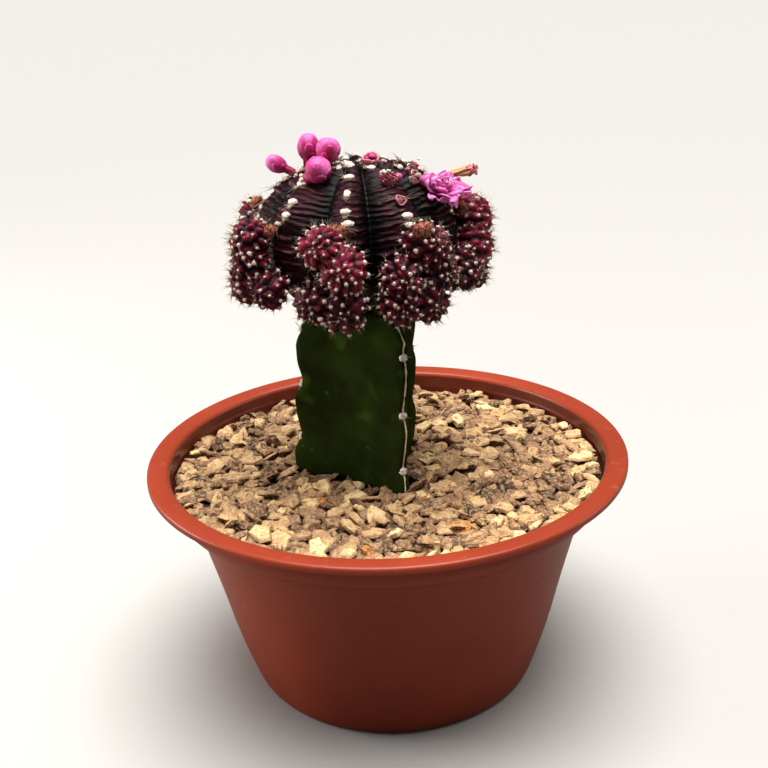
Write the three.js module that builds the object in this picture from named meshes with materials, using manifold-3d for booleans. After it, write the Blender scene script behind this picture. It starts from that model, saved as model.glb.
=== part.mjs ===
// Potted moon cactus: a dark ribbed scion with clusters of offsets, grafted on a
// three-winged green rootstock, in a shallow plastic pot topped with stone chips.
// Millimetres, +Z up. The origin is the middle of the pot's underside and the
// front of the plant looks along -Y.
import * as THREE from 'three';
import { mergeVertices } from 'three/addons/utils/BufferGeometryUtils.js';
import Module from 'manifold-3d';

const wasm = await Module();
wasm.setup();

// Driving dimensions: all pieces. The clearance is the gap between pieces that touch
const clearance = 0.35;
const finestEdge = 0.06;

// Driving dimensions: pot. Points of its outline are [radius, height]
const potHeight = 60;
const rimRadius = 60;
const mouthRadius = 54.6;
const baseRadius = 36;
const heelRadius = 37.5;
const heelHeight = 2.2;
const lowBody = [41.5, 15];
const midBody = [44.9, 30];
const wall = 0.9;
const floorThickness = 1.6;
const lipDrop = 1.8;
const collarRadius = 55.3;
const collarFoot = 53.4;
const shoulderFoot = 49.5;
const shoulderBulge = [54.3, 51.7];
const bodyTopRadius = 49.9;
const lipRound = 0.8;
const innerStep = 1;
const potSides = 48;
const drainHoles = 6;
const drainRadius = 2.6;
const drainRing = 22;

// Driving dimensions: filling
const soilTop = 47.2;
const gravelFoot = 47.6;
const gravelBedTop = 53.4;
const gravelLimit = 58.5;
const stoneSpacing = 8.2;
const stoneShake = 1.35;
const stoneRise = 2.1;
const stoneTilt = 0.26;
const stoneInset = [0.74, 0.88];
const stoneSeed = 1907;
const stemHoleMargin = 0.7;

// Driving dimensions: rootstock. Each rib has its direction from +X and the height of its
// highest areole. The scallop runs from one areole down to the next, as [share of the
// period, share of the depth]
const plantX = -4;
const plantY = 1;
const stemFoot = 34;
const stemWaist = 50;
const stemGround = 54;
const stemTop = 97;
const stemShoulder = 92.6;
const stemRadius = 18.8;
const stemShoulderRadius = 17.7;
const stemTopRadius = 12.2;
const stemFootRadius = 15;
const stemLean = 0.045;
const faceHollow = 1.3;
const ribEdgeHalfWidth = 1.3;
const scallopDepth = 1.0;
const scallopPeriod = 14.4;
const scallopShape = [[0, -0.5], [0.22, 1], [0.6, 0.45], [1, -0.9]];
const wingShoulder = 0.965;
const stemRings = 13;
const stemWool = { radius: 1.3, height: 1.1 };
const stemSpine = { length: 1.8, radius: 0.3, turns: [-35, 30] };
const stemRibs = [
  { azimuth: 176, firstAreole: 91.7 },
  { azimuth: 294.5, firstAreole: 89.0 },
  { azimuth: 55, firstAreole: 81.0 },
];

// Driving dimensions: scion. Its ribs are uneven: each has the azimuth of its crest and of the
// groove after it, from -Y. Rings of its skin are placed by degrees from the crown, and areoles
// sit on the rib crests at every second band
const scionZ = 114;
const scionRadius = 23.5;
const scionHalfHeight = 19;
const ribCrests = [-8, 30, 71, 112, 148, 184, 216, 244, 268, 303];
const ribGrooves = [7, 50, 91, 130, 166, 200, 231, 256, 285, 340];
const scionRibs = ribCrests.length;
const columnsPerRib = 4;
const fullSide = { azimuth: -92, polar: 56, rise: 1.3, across: 34, down: 24 };
const grooveDepth = 3.4;
const bandHeight = 0.32;
const firstBand = 98;
const lastBand = 10;
const bandStep = 4.4;
const underRings = [154, 131, 112];
const crownDip = 1.4;
const crownReach = 11;
const seatGap = 0.3;
const areoleRise = 0.8;
const areolesFrom = 20;
const areolesTo = 75;
const spinesFrom = 38;
const spineSeed = 73;
const spineLength = 4.2;
const spineRadius = 0.3;

// Driving dimensions: offsets. Each pup is [turn in degrees from the cluster's azimuth,
// reach from the scion's axis, height over the scion's middle, radius]
const tubercleColumns = 7;
const tubercleRows = 3;
const tubercleHeight = 0.2;
const spinesPerPup = 1;
const pupSpineLength = 2.2;
const pupSpineRadius = 0.28;
const clusterSeed = 411;
const hangingPups = [
  [-6, 26.3, 3.8, 4.8], [5, 27, -0.8, 5], [-8, 26, -6, 4.6], [5, 25.2, -9.6, 5.3],
];
const leftPups = [
  [-1, 27.3, 3.5, 4.8], [-1, 27.9, -0.9, 4.7], [6, 25.6, -7.2, 4.7], [-5, 28.4, -6.2, 4.8],
];
const frontPups = [
  [-4, 26.3, 4, 4.7], [6, 27, -0.8, 5], [-8, 26, -7.9, 4.9], [5, 25.6, -9.3, 5.2],
];
const frontRightPups = [
  [5, 25.6, 2.7, 5.1], [-10, 26, -3.6, 4.6], [11, 25.3, -3.8, 4.8], [-11, 25.2, -9.4, 4.6],
  [4, 25, -9.8, 5],
];
const rightPups = [
  [10, 26.2, 4.4, 5], [2, 26.8, -1.4, 5], [-11, 25.2, -5.6, 4.8], [3, 25.6, -7.4, 4.7],
];
const clusters = [
  { azimuth: -61, pups: leftPups },
  { azimuth: -14, pups: frontPups },
  { azimuth: 30, pups: frontRightPups },
  { azimuth: 77, pups: rightPups },
  { azimuth: 124, pups: hangingPups },
  { azimuth: 168, pups: hangingPups },
  { azimuth: 212, pups: hangingPups },
  { azimuth: 256, pups: hangingPups },
];

// Driving dimensions: buds and flowers, each on a rib's crest at an angle from the crown.
// A bud's outline is [share of its radius, share of its length]
const budSides = 7;
const budRoot = 0.8;
const budOutline = [[0.72, 0.34], [1, 0.62], [0.84, 0.86], [0.3, 1]];
const stalkShare = 0.16;
const petalSteps = 3;
const petalStart = 0.9;
const petalThickness = 0.9;
const bloomBerth = 9.5;
const pink = 0xe65cb0;
const rose = 0xb03a5c;
const peach = 0xd9876f;
const petalPink = 0xdc52b4;
const bud = (name, rib, polar, lean, [radius, length, stalk], colour = pink) => (
  { name, rib, polar, lean, radius, length, stalk, colour, whorls: [] }
);
const blooms = [
  bud('flower_bud_1', -2, 36, [-0.9, 0, 0.5], [1.85, 8.8, 0.9]),
  bud('flower_bud_2', -2, 28.5, [0.05, -0.05, 1], [2.5, 8.2, 1.2]),
  bud('flower_bud_3', -1, 21, [0.15, 0.1, 0.95], [2.75, 6.8, 1.3]),
  bud('flower_bud_4', -1, 36, [0.7, -0.35, 0.62], [2.9, 7.2, 1.5]),
  bud('flower_bud_5', 2, 46, [-0.15, -0.7, 0.5], [1.5, 3.6, 0.9]),
  bud('young_bud_1', 1, 14.5, [0, -0.2, 1], [1.9, 2.4, 1.2], rose),
  bud('young_bud_2', 1, 36, [0.15, -0.6, 0.8], [1.8, 2.4, 1.1], rose),
  bud('young_bud_3', 2, 34, [0.1, -0.3, 0.9], [1.6, 2.6, 1.1], rose),
  bud('spent_flower', 3, 50, [0.97, -0.1, 0.17], [1.8, 11.8, 1.1], peach),
  {
    ...bud('flower', 2, 56, [0.8, -0.35, 0.55], [1.9, 3.0, 1.3], petalPink),
    whorls: [
      { count: 7, offset: 0, from: 1.4, length: 5.6, width: 2.7, open: 0.5, curl: 0.75 },
      { count: 3, offset: 0.5, from: 2.1, length: 4.6, width: 2.3, open: 0.2, curl: 0.5 },
    ],
  },
];

const deg = THREE.MathUtils.degToRad;

function seededRandom(seed) {
  let state = seed >>> 0;
  return () => {
    state = (state + 0x6d2b79f5) >>> 0;
    let t = state;
    t = Math.imul(t ^ (t >>> 15), t | 1);
    t ^= t + Math.imul(t ^ (t >>> 7), t | 61);
    return ((t ^ (t >>> 14)) >>> 0) / 4294967296;
  };
}

function spread(random, amount) {
  return (random() * 2 - 1) * amount;
}

// Straight-line interpolation through a short list of [place, value] points
function curve(points, place) {
  if (place <= points[0][0]) return points[0][1];
  for (let i = 1; i < points.length; i += 1) {
    const [x0, y0] = points[i - 1];
    const [x1, y1] = points[i];
    if (place <= x1) return y0 + ((y1 - y0) * (place - x0)) / (x1 - x0);
  }
  return points[points.length - 1][1];
}

function solidOf(geometry) {
  const bare = geometry.index ? geometry.clone() : geometry;
  bare.deleteAttribute('normal');
  bare.deleteAttribute('uv');
  const merged = mergeVertices(bare, 1e-4);
  return new wasm.Manifold(new wasm.Mesh({
    numProp: 3,
    vertProperties: new Float32Array(merged.attributes.position.array),
    triVerts: new Uint32Array(merged.index.array),
  }));
}

function geometryOf(solid) {
  const mesh = solid.getMesh();
  const geometry = new THREE.BufferGeometry();
  geometry.setAttribute('position', new THREE.BufferAttribute(new Float32Array(mesh.vertProperties), 3));
  geometry.setIndex(new THREE.BufferAttribute(new Uint32Array(mesh.triVerts), 1));
  geometry.computeVertexNormals();
  return geometry;
}

function fused(solids) {
  return wasm.Manifold.union(solids);
}

// The main body alone, with pockets that fusing sealed filled and loose scraps dropped
function outerBody(solid) {
  const bodies = solid.decompose();
  return bodies.reduce((best, body) => (body.volume() > best.volume() ? body : best));
}

// Ring-shaped solid turned about +Z from a list of [radius, height] points
function turned(profile, sides) {
  const points = profile.map(([radius, height]) => new THREE.Vector2(radius, height));
  const geometry = new THREE.LatheGeometry(points, sides);
  geometry.rotateX(Math.PI / 2);
  return geometry;
}

// Closed skin over rings of points, from a bottom centre to a top centre
function ringSkin(rings, bottom, top) {
  const columns = rings[0].length;
  const positions = [bottom.x, bottom.y, bottom.z];
  rings.forEach((ring) => ring.forEach((p) => positions.push(p.x, p.y, p.z)));
  positions.push(top.x, top.y, top.z);
  const last = positions.length / 3 - 1;
  const at = (row, column) => 1 + row * columns + (column % columns);
  const index = [];
  for (let c = 0; c < columns; c += 1) {
    index.push(0, at(0, c + 1), at(0, c));
    for (let r = 0; r < rings.length - 1; r += 1) {
      index.push(at(r, c), at(r, c + 1), at(r + 1, c + 1));
      index.push(at(r, c), at(r + 1, c + 1), at(r + 1, c));
    }
    index.push(last, at(rings.length - 1, c), at(rings.length - 1, c + 1));
  }
  const geometry = new THREE.BufferGeometry();
  geometry.setAttribute('position', new THREE.Float32BufferAttribute(positions, 3));
  geometry.setIndex(index);
  return geometry;
}

// Moves a shape modelled along +Z so that it starts at a point and runs along a direction
function stood(geometry, start, direction, roll = 0) {
  const turn = new THREE.Quaternion().setFromUnitVectors(
    new THREE.Vector3(0, 0, 1),
    direction.clone().normalize(),
  );
  geometry.rotateZ(roll);
  geometry.applyQuaternion(turn);
  geometry.translate(start.x, start.y, start.z);
  return geometry;
}

// Three-sided needle along +Z with its root sunk below the origin
function spine(length, radius, sunk = 0.6) {
  const geometry = new THREE.ConeGeometry(radius, length + sunk, 3);
  geometry.rotateX(Math.PI / 2);
  geometry.translate(0, 0, (length + sunk) / 2 - sunk);
  return geometry;
}

// Low woolly tuft, five-sided, along +Z
function woolTuft({ radius, height }) {
  return turned([[0, -0.7], [radius, 0.1], [0, height]], 5);
}

// Pot

const potOuter = [
  [0, 0], [baseRadius, 0], [heelRadius, heelHeight], lowBody, midBody,
  [bodyTopRadius, shoulderFoot], shoulderBulge, [collarRadius, collarFoot],
];
const potInner = [
  [mouthRadius, potHeight], [collarRadius - wall, collarFoot + innerStep],
  [bodyTopRadius - wall, shoulderFoot + innerStep], [midBody[0] - wall, midBody[1]],
  [lowBody[0] - wall, lowBody[1]], [heelRadius - wall, heelHeight + innerStep],
  [baseRadius - wall, floorThickness], [0, floorThickness],
];

function potSolid() {
  const lip = potHeight - lipDrop;
  const under = potHeight - wall;
  const flange = [
    [collarRadius, under], [rimRadius - wall, under], [rimRadius - wall, lip],
    [rimRadius, lip], [rimRadius, potHeight - lipRound], [rimRadius - lipRound, potHeight],
  ];
  let pot = solidOf(turned([...potOuter, ...flange, ...potInner], potSides));
  for (let i = 0; i < drainHoles; i += 1) {
    const angle = (i / drainHoles) * Math.PI * 2;
    const hole = new THREE.CylinderGeometry(drainRadius, drainRadius, 8, 8);
    hole.rotateX(Math.PI / 2);
    hole.translate(drainRing * Math.cos(angle), drainRing * Math.sin(angle), 0);
    pot = pot.subtract(solidOf(hole));
  }
  return pot;
}

// Inside of the pot, drawn in by the clearance, up to a given height
function fillingRoom(from, to) {
  const wallPoints = potInner.slice(0, -1).reverse().map(([radius, height]) => [height, radius]);
  const radiusAt = (z) => curve(wallPoints, z) - clearance;
  const bends = wallPoints.map(([height]) => height).filter((z) => z > from + 0.2 && z < to - 0.2);
  const levels = [from, ...bends, to];
  return solidOf(turned([[0, from], ...levels.map((z) => [radiusAt(z), z]), [0, to]], potSides));
}

// Rootstock

function ribReach(rib, z) {
  const down = (rib.firstAreole - z) / scallopPeriod;
  const phase = down - Math.floor(down);
  const body = curve([
    [stemFoot, stemFootRadius], [stemWaist, stemRadius],
    [stemShoulder, stemShoulderRadius], [stemTop, stemTopRadius],
  ], z);
  return z > stemShoulder ? body : body + curve(scallopShape, phase) * scallopDepth;
}

function stemAxis(z) {
  return (z - stemGround) * stemLean;
}

// Level section of the stem: three rib tips with a hollow face between each two
function stemRing(z, grow = 0) {
  const tips = stemRibs.map((rib) => {
    const angle = deg(rib.azimuth);
    const reach = ribReach(rib, z) + grow * 2;
    return new THREE.Vector2(Math.cos(angle) * reach, Math.sin(angle) * reach);
  });
  const ring = [];
  tips.forEach((tip, i) => {
    const next = tips[(i + 1) % tips.length];
    const side = new THREE.Vector2(-tip.y, tip.x).normalize();
    const nextSide = new THREE.Vector2(-next.y, next.x).normalize();
    const edge = ribEdgeHalfWidth + grow * 0.6;
    const start = tip.clone().multiplyScalar(wingShoulder).addScaledVector(side, edge);
    const end = next.clone().multiplyScalar(wingShoulder).addScaledVector(nextSide, -edge);
    const inward = start.clone().add(end).normalize().negate();
    ring.push(tip);
    ring.push(start);
    [0.25, 0.5, 0.75].forEach((t) => {
      const hollow = faceHollow * 4 * t * (1 - t) - grow;
      ring.push(start.clone().lerp(end, t).addScaledVector(inward, hollow));
    });
    ring.push(end);
  });
  return ring.map((p) => new THREE.Vector3(p.x + stemAxis(z), p.y, z));
}

function stemLevels() {
  const levels = [stemFoot, stemWaist];
  const scallopFoot = stemGround - 1.5;
  for (let i = 0; i <= stemRings; i += 1) {
    levels.push(scallopFoot + ((stemShoulder - scallopFoot) * i) / stemRings);
  }
  levels.push(stemTop);
  return levels;
}

function stemSkin(levels, grow = 0) {
  const rings = levels.map((z) => stemRing(z, grow));
  const bottom = new THREE.Vector3(stemAxis(levels[0]), 0, levels[0]);
  const topZ = levels[levels.length - 1];
  return solidOf(ringSkin(rings, bottom, new THREE.Vector3(stemAxis(topZ), 0, topZ)));
}

function rootstockSolid() {
  const pieces = [stemSkin(stemLevels())];
  stemRibs.forEach((rib) => {
    const angle = deg(rib.azimuth);
    const out = new THREE.Vector3(Math.cos(angle), Math.sin(angle), 0);
    for (let z = rib.firstAreole; z > stemGround + 1; z -= scallopPeriod) {
      const reach = ribReach(rib, z) - 0.4;
      const start = out.clone().multiplyScalar(reach).add(new THREE.Vector3(stemAxis(z), 0, z));
      pieces.push(solidOf(stood(woolTuft(stemWool), start, out)));
      stemSpine.turns.forEach((turn) => {
        const direction = out.clone().applyAxisAngle(new THREE.Vector3(0, 0, 1), deg(turn));
        direction.z = turn > 0 ? 0.45 : -0.3;
        const root = start.clone().addScaledVector(out, 0.5);
        pieces.push(solidOf(stood(spine(stemSpine.length, stemSpine.radius), root, direction)));
      });
    }
  });
  return outerBody(fused(pieces));
}

// Plain hole for the stem in the filling, in the pot's own place
function stemHole() {
  const levels = [stemFoot - clearance, stemWaist, potHeight];
  return stemSkin(levels, clearance + stemHoleMargin).translate([plantX, plantY, 0]);
}

// Filling

function soilSolid() {
  return fillingRoom(floorThickness + clearance, soilTop).subtract(stemHole());
}

// Bed of stones set side by side: each cell of a shaken honeycomb is one stone, its top
// drawn in, lifted and tilted, with the cell's corners left low as the gaps between stones
function stoneBed(random) {
  const positions = [];
  const index = [];
  const corners = new Map();
  const edges = new Map();
  const add = (x, y, z) => positions.push(x, y, z) / 3 - 1;
  const corner = (x, y) => {
    const key = `${Math.round(x * 10)},${Math.round(y * 10)}`;
    if (!corners.has(key)) {
      const cx = x + spread(random, stoneShake);
      const cy = y + spread(random, stoneShake);
      const low = add(cx, cy, gravelBedTop + spread(random, 0.3));
      corners.set(key, { x: cx, y: cy, low, under: add(cx, cy, soilTop - 2) });
    }
    return corners.get(key);
  };
  const rows = Math.ceil(rimRadius / (stoneSpacing * 0.866));
  for (let row = -rows; row <= rows; row += 1) {
    for (let column = -rows; column <= rows; column += 1) {
      const x = (column + (row % 2 === 0 ? 0 : 0.5)) * stoneSpacing;
      const y = row * stoneSpacing * 0.866;
      if (Math.hypot(x, y) > rimRadius) continue;
      const ring = [];
      for (let i = 0; i < 6; i += 1) {
        const angle = ((i + 0.5) * Math.PI) / 3;
        const reach = stoneSpacing / Math.sqrt(3);
        ring.push(corner(x + Math.cos(angle) * reach, y + Math.sin(angle) * reach));
      }
      const lift = gravelBedTop + stoneRise * (0.35 + 0.65 * random());
      const tiltX = spread(random, stoneTilt);
      const tiltY = spread(random, stoneTilt);
      const inset = THREE.MathUtils.lerp(stoneInset[0], stoneInset[1], random());
      const top = ring.map((c) => {
        const tx = x + (c.x - x) * inset;
        const ty = y + (c.y - y) * inset;
        return add(tx, ty, lift + tiltX * (tx - x) + tiltY * (ty - y));
      });
      for (let i = 0; i < 6; i += 1) {
        const j = (i + 1) % 6;
        if (i > 0 && i < 5) {
          index.push(top[0], top[i], top[j]);
          index.push(ring[0].under, ring[j].under, ring[i].under);
        }
        index.push(ring[i].low, ring[j].low, top[j], ring[i].low, top[j], top[i]);
        const back = `${ring[j].low},${ring[i].low}`;
        if (edges.has(back)) edges.delete(back);
        else edges.set(`${ring[i].low},${ring[j].low}`, [ring[i], ring[j]]);
      }
    }
  }
  edges.forEach(([a, b]) => index.push(a.under, b.under, b.low, a.under, b.low, a.low));
  const geometry = new THREE.BufferGeometry();
  geometry.setAttribute('position', new THREE.Float32BufferAttribute(positions, 3));
  geometry.setIndex(index);
  return solidOf(geometry);
}

function gravelSolid() {
  const room = fillingRoom(gravelFoot, gravelLimit);
  const bed = stoneBed(seededRandom(stoneSeed));
  return outerBody(bed.intersect(room).subtract(stemHole()));
}

// Scion: a low globe of ribs with cross bands, in its own place about its middle

// Places round the head are counted in ribs: 2 is the crest of rib 2, 2.5 the groove after it
function azimuthAt(ribs) {
  const from = (list, rib) => {
    const laps = Math.floor(rib / scionRibs);
    return list[rib - laps * scionRibs] + laps * 360;
  };
  const rib = Math.floor(ribs);
  const crest = from(ribCrests, rib);
  const groove = from(ribGrooves, rib);
  return curve([[rib, crest], [rib + 0.5, groove], [rib + 1, from(ribCrests, rib + 1)]], ribs);
}

// How far the fuller side of the head stands out
function fullness(azimuth, polar) {
  const turn = THREE.MathUtils.euclideanModulo(azimuth - fullSide.azimuth + 180, 360) - 180;
  const across = turn / fullSide.across;
  const down = (polar - fullSide.polar) / fullSide.down;
  return fullSide.rise * Math.exp(-across * across - down * down);
}

function scionPoint(ribs, polar, grow = 0, band = 0) {
  const azimuth = azimuthAt(ribs);
  const away = Math.abs(ribs - Math.round(ribs)) * 2;
  const widen = Math.sin(deg(Math.min(polar, 90)));
  const groove = grooveDepth * Math.pow(away, 1.25) * Math.pow(widen, 0.8);
  const radius = scionRadius + grow;
  const half = scionHalfHeight + grow;
  const shrink = 1 - (groove - band - fullness(azimuth, polar)) / scionRadius;
  const angle = deg(azimuth - 90);
  const dip = crownDip * Math.exp(-Math.pow(polar / crownReach, 2));
  return new THREE.Vector3(
    Math.cos(angle) * Math.sin(deg(polar)) * radius * shrink,
    Math.sin(angle) * Math.sin(deg(polar)) * radius * shrink,
    Math.cos(deg(polar)) * half * (1 + shrink) * 0.5 - dip,
  );
}

function scionNormal(ribs, polar) {
  const p = scionPoint(ribs, polar);
  return new THREE.Vector3(
    p.x / scionRadius ** 2,
    p.y / scionRadius ** 2,
    p.z / scionHalfHeight ** 2,
  ).normalize();
}

// Degrees from the crown of the bands, every second of them standing proud
function bandPolars() {
  const polars = [];
  for (let polar = firstBand; polar >= lastBand; polar -= bandStep) polars.push(polar);
  return polars;
}

function isProud(row) {
  return row % 2 === 1;
}

function scionSkin(grow = 0) {
  const columns = scionRibs * columnsPerRib;
  const ringOf = (polar, reliefAt) => Array.from({ length: columns }, (_, c) => (
    scionPoint(c / columnsPerRib, polar, grow, reliefAt(c))
  ));
  const under = underRings.map((polar) => ringOf(polar, () => 0));
  const bands = bandPolars().map((polar, row) => ringOf(polar, (c) => {
    const band = bandHeight * (isProud(row) ? 1 : -1);
    const onCrest = c % columnsPerRib === 0;
    return onCrest && isProud(row) && isAreolePolar(polar) ? band + areoleRise : band;
  }));
  const rings = [...under, ...bands];
  const bottom = new THREE.Vector3(0, 0, rings[0][0].z);
  const top = scionPoint(0, 0, grow);
  return solidOf(ringSkin(rings, bottom, top));
}

function isAreolePolar(polar) {
  return polar > areolesFrom && polar < areolesTo;
}

// A place on a rib's crest, with the way out of the surface there
function crestSite(rib, polar) {
  return { point: scionPoint(rib, polar), out: scionNormal(rib, polar) };
}

function siteTaken(rib, polar) {
  return blooms.some((bloom) => {
    const apart = THREE.MathUtils.euclideanModulo(bloom.rib - rib, scionRibs);
    return apart === 0 && Math.abs(bloom.polar - polar) < bloomBerth;
  });
}

function scionSolid() {
  const random = seededRandom(spineSeed);
  const pieces = [scionSkin()];
  const spined = bandPolars().filter((polar, row) => (
    isProud(row) && isAreolePolar(polar) && polar > spinesFrom
  ));
  for (let rib = 0; rib < scionRibs; rib += 1) {
    spined.filter((polar) => !siteTaken(rib, polar)).forEach((polar) => {
      const { point, out } = crestSite(rib, polar);
      const side = new THREE.Vector3(0, 0, 1).cross(out).normalize();
      const direction = out.clone().addScaledVector(side, spread(random, 0.8));
      direction.z += 0.3;
      pieces.push(solidOf(stood(spine(spineLength, spineRadius), point, direction)));
    });
  }
  return outerBody(fused(pieces).trimByPlane([0, 0, 1], stemTop + seatGap - scionZ));
}

// Offsets: small globes of tubercles that hang from the lower ribs

function tubercledGlobe(radius) {
  const rings = [];
  const rowCount = tubercleRows * 2;
  for (let row = 0; row < rowCount; row += 1) {
    const polar = Math.PI * (1 - (row + 0.75) / (rowCount + 0.5));
    const reach = radius * (row % 2 === 0 ? 1 - tubercleHeight / 2 : 1 + tubercleHeight / 2);
    const ring = [];
    for (let c = 0; c < tubercleColumns; c += 1) {
      const angle = ((c + (row % 2) * 0.5 + Math.floor(row / 2) * 0.5) / tubercleColumns) * Math.PI * 2;
      ring.push(new THREE.Vector3(
        Math.cos(angle) * Math.sin(polar) * reach,
        Math.sin(angle) * Math.sin(polar) * reach,
        Math.cos(polar) * reach,
      ));
    }
    rings.push(ring);
  }
  const end = radius * (1 - tubercleHeight / 2);
  return {
    skin: ringSkin(rings, new THREE.Vector3(0, 0, -end), new THREE.Vector3(0, 0, end)),
    tips: rings.filter((ring, row) => row % 2 === 1).flat(),
  };
}

function around(azimuth, radius, height) {
  const angle = deg(azimuth - 90);
  return new THREE.Vector3(Math.cos(angle) * radius, Math.sin(angle) * radius, height);
}

function clusterSolid(cluster, random, scionRoom) {
  const pieces = [];
  cluster.pups.forEach(([turn, reach, height, radius]) => {
    const middle = around(cluster.azimuth + turn, reach, height);
    const out = around(cluster.azimuth + turn * 1.5, 1, 0.15 + height * 0.03);
    const { skin, tips } = tubercledGlobe(radius);
    const quaternion = new THREE.Quaternion().setFromUnitVectors(
      new THREE.Vector3(0, 0, 1),
      out.clone().normalize(),
    );
    const roll = new THREE.Quaternion().setFromAxisAngle(new THREE.Vector3(0, 0, 1), random() * 3);
    const place = (v) => v.clone().applyQuaternion(roll).applyQuaternion(quaternion).add(middle);
    skin.applyQuaternion(roll);
    skin.applyQuaternion(quaternion);
    skin.translate(middle.x, middle.y, middle.z);
    pieces.push(solidOf(skin));
    const outer = tips.map(place).filter((tip) => tip.clone().sub(middle).dot(out) > radius * 0.35);
    for (let i = 0; i < spinesPerPup && outer.length > 0; i += 1) {
      const tip = outer.splice(Math.floor(random() * outer.length), 1)[0];
      const direction = tip.clone().sub(middle);
      pieces.push(solidOf(stood(spine(pupSpineLength, pupSpineRadius), tip, direction)));
    }
  });
  return outerBody(fused(pieces).subtract(scionRoom));
}

// Buds and flowers

// Round body with a waist at its root, along +Z from the origin
function budShape({ radius, length, stalk }) {
  const outline = budOutline.map(([out, up]) => [out * radius, up * length]);
  const root = [[0, -budRoot], [stalk, -budRoot], [stalk, length * stalkShare]];
  return turned([...root, ...outline, [0, length]], budSides);
}

// Blade of one petal: diamond sections along an arc that opens outward
function petalShape({ length, width, open, curl }) {
  const rings = [];
  const thin = petalThickness / 2;
  let out = petalStart;
  let up = 0;
  for (let i = 0; i <= petalSteps; i += 1) {
    const t = i / petalSteps;
    const angle = open + curl * t;
    const half = Math.max(width * Math.sin(Math.PI * (0.1 + 0.78 * t)), thin);
    const nx = -Math.cos(angle) * thin;
    const nz = Math.sin(angle) * thin;
    rings.push([
      new THREE.Vector3(out, -half, up),
      new THREE.Vector3(out - nx, 0, up - nz),
      new THREE.Vector3(out, half, up),
      new THREE.Vector3(out + nx, 0, up + nz),
    ]);
    out += (Math.sin(angle) * length) / petalSteps;
    up += (Math.cos(angle) * length) / petalSteps;
  }
  const middle = (ring) => ring.reduce((sum, p) => sum.add(p), new THREE.Vector3()).divideScalar(4);
  return ringSkin(rings, middle(rings[0]), middle(rings[petalSteps]));
}

function bloomShape(bloom) {
  const pieces = [solidOf(budShape(bloom))];
  bloom.whorls.forEach((whorl) => {
    for (let i = 0; i < whorl.count; i += 1) {
      const petal = petalShape(whorl);
      petal.rotateZ(((i + whorl.offset) / whorl.count) * Math.PI * 2);
      petal.translate(0, 0, whorl.from);
      pieces.push(solidOf(petal));
    }
  });
  return geometryOf(fused(pieces));
}

function bloomSolid(bloom, scionRoom) {
  const { point } = crestSite(bloom.rib, bloom.polar);
  const shape = stood(bloomShape(bloom), point, new THREE.Vector3(...bloom.lean));
  return outerBody(solidOf(shape).subtract(scionRoom));
}

// Assembly

function part(name, solid, colour, roughness) {
  const material = new THREE.MeshStandardMaterial({ color: colour, roughness, metalness: 0 });
  const mesh = new THREE.Mesh(geometryOf(solid.simplify(finestEdge)), material);
  mesh.name = name;
  return mesh;
}

const pottedCactus = new THREE.Group();
pottedCactus.add(part('pot', potSolid(), 0xb4532f, 0.42));
pottedCactus.add(part('potting_soil', soilSolid(), 0x2e2018, 0.95));
pottedCactus.add(part('gravel_top_dressing', gravelSolid(), 0xc9a878, 0.9));

const plant = new THREE.Group();
plant.position.set(plantX, plantY, 0);
plant.add(part('rootstock', rootstockSolid(), 0x23351a, 0.5));
pottedCactus.add(plant);

const head = new THREE.Group();
head.position.set(0, 0, scionZ);
head.add(part('scion', scionSolid(), 0x3a1a22, 0.55));
const scionRoom = scionSkin(seatGap + 0.1);
const clusterRandom = seededRandom(clusterSeed);
clusters.forEach((cluster, i) => {
  const solid = clusterSolid(cluster, clusterRandom, scionRoom);
  head.add(part(`offset_cluster_${i + 1}`, solid, 0x7a1c3c, 0.55));
});
blooms.forEach((bloom) => {
  head.add(part(bloom.name, bloomSolid(bloom, scionRoom), bloom.colour, 0.5));
});
plant.add(head);

export default pottedCactus;
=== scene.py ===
import math

import bpy
import numpy as np
from mathutils import Euler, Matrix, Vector, noise


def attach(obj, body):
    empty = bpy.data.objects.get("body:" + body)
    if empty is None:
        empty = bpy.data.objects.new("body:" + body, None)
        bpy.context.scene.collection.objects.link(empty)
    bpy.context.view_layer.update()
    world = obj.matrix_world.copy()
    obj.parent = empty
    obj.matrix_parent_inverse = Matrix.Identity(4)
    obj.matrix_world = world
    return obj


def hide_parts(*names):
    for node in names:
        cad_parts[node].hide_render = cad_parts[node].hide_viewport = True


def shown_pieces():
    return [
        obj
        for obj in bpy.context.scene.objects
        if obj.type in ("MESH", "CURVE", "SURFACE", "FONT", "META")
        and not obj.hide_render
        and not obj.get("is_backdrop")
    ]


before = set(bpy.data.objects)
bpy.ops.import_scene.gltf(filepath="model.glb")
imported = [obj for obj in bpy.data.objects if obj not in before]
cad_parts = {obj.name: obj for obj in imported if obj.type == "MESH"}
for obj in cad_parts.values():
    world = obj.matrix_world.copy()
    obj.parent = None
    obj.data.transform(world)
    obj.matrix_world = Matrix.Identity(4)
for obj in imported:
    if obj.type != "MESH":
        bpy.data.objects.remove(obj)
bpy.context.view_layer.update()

mm = 0.001
print("frame loaded:", len(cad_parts), "nodes")


# Camera and stage

camera = {
    "place": (0, -255, 175),
    "tiltDown": 21.0,
    "roll": -2.4,
    "focalPixels": 1100.5,
    "framePixels": 768,
    "sensor": 36,
    "clip": (0.01, 100),    # metres
}


def makeCamera(c):
    data = bpy.data.cameras.new("camera")
    data.sensor_width = c["sensor"]
    data.lens = data.sensor_width * c["focalPixels"] / c["framePixels"]
    data.clip_start, data.clip_end = c["clip"]
    made = bpy.data.objects.new("camera", data)
    bpy.context.scene.collection.objects.link(made)
    made.location = Vector(c["place"]) * mm
    tilt = Euler((math.radians(90 - c["tiltDown"]), 0, 0)).to_matrix()
    roll = Euler((0, 0, math.radians(c["roll"]))).to_matrix()
    made.rotation_euler = (tilt @ roll).to_euler()
    bpy.context.scene.camera = made


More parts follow.
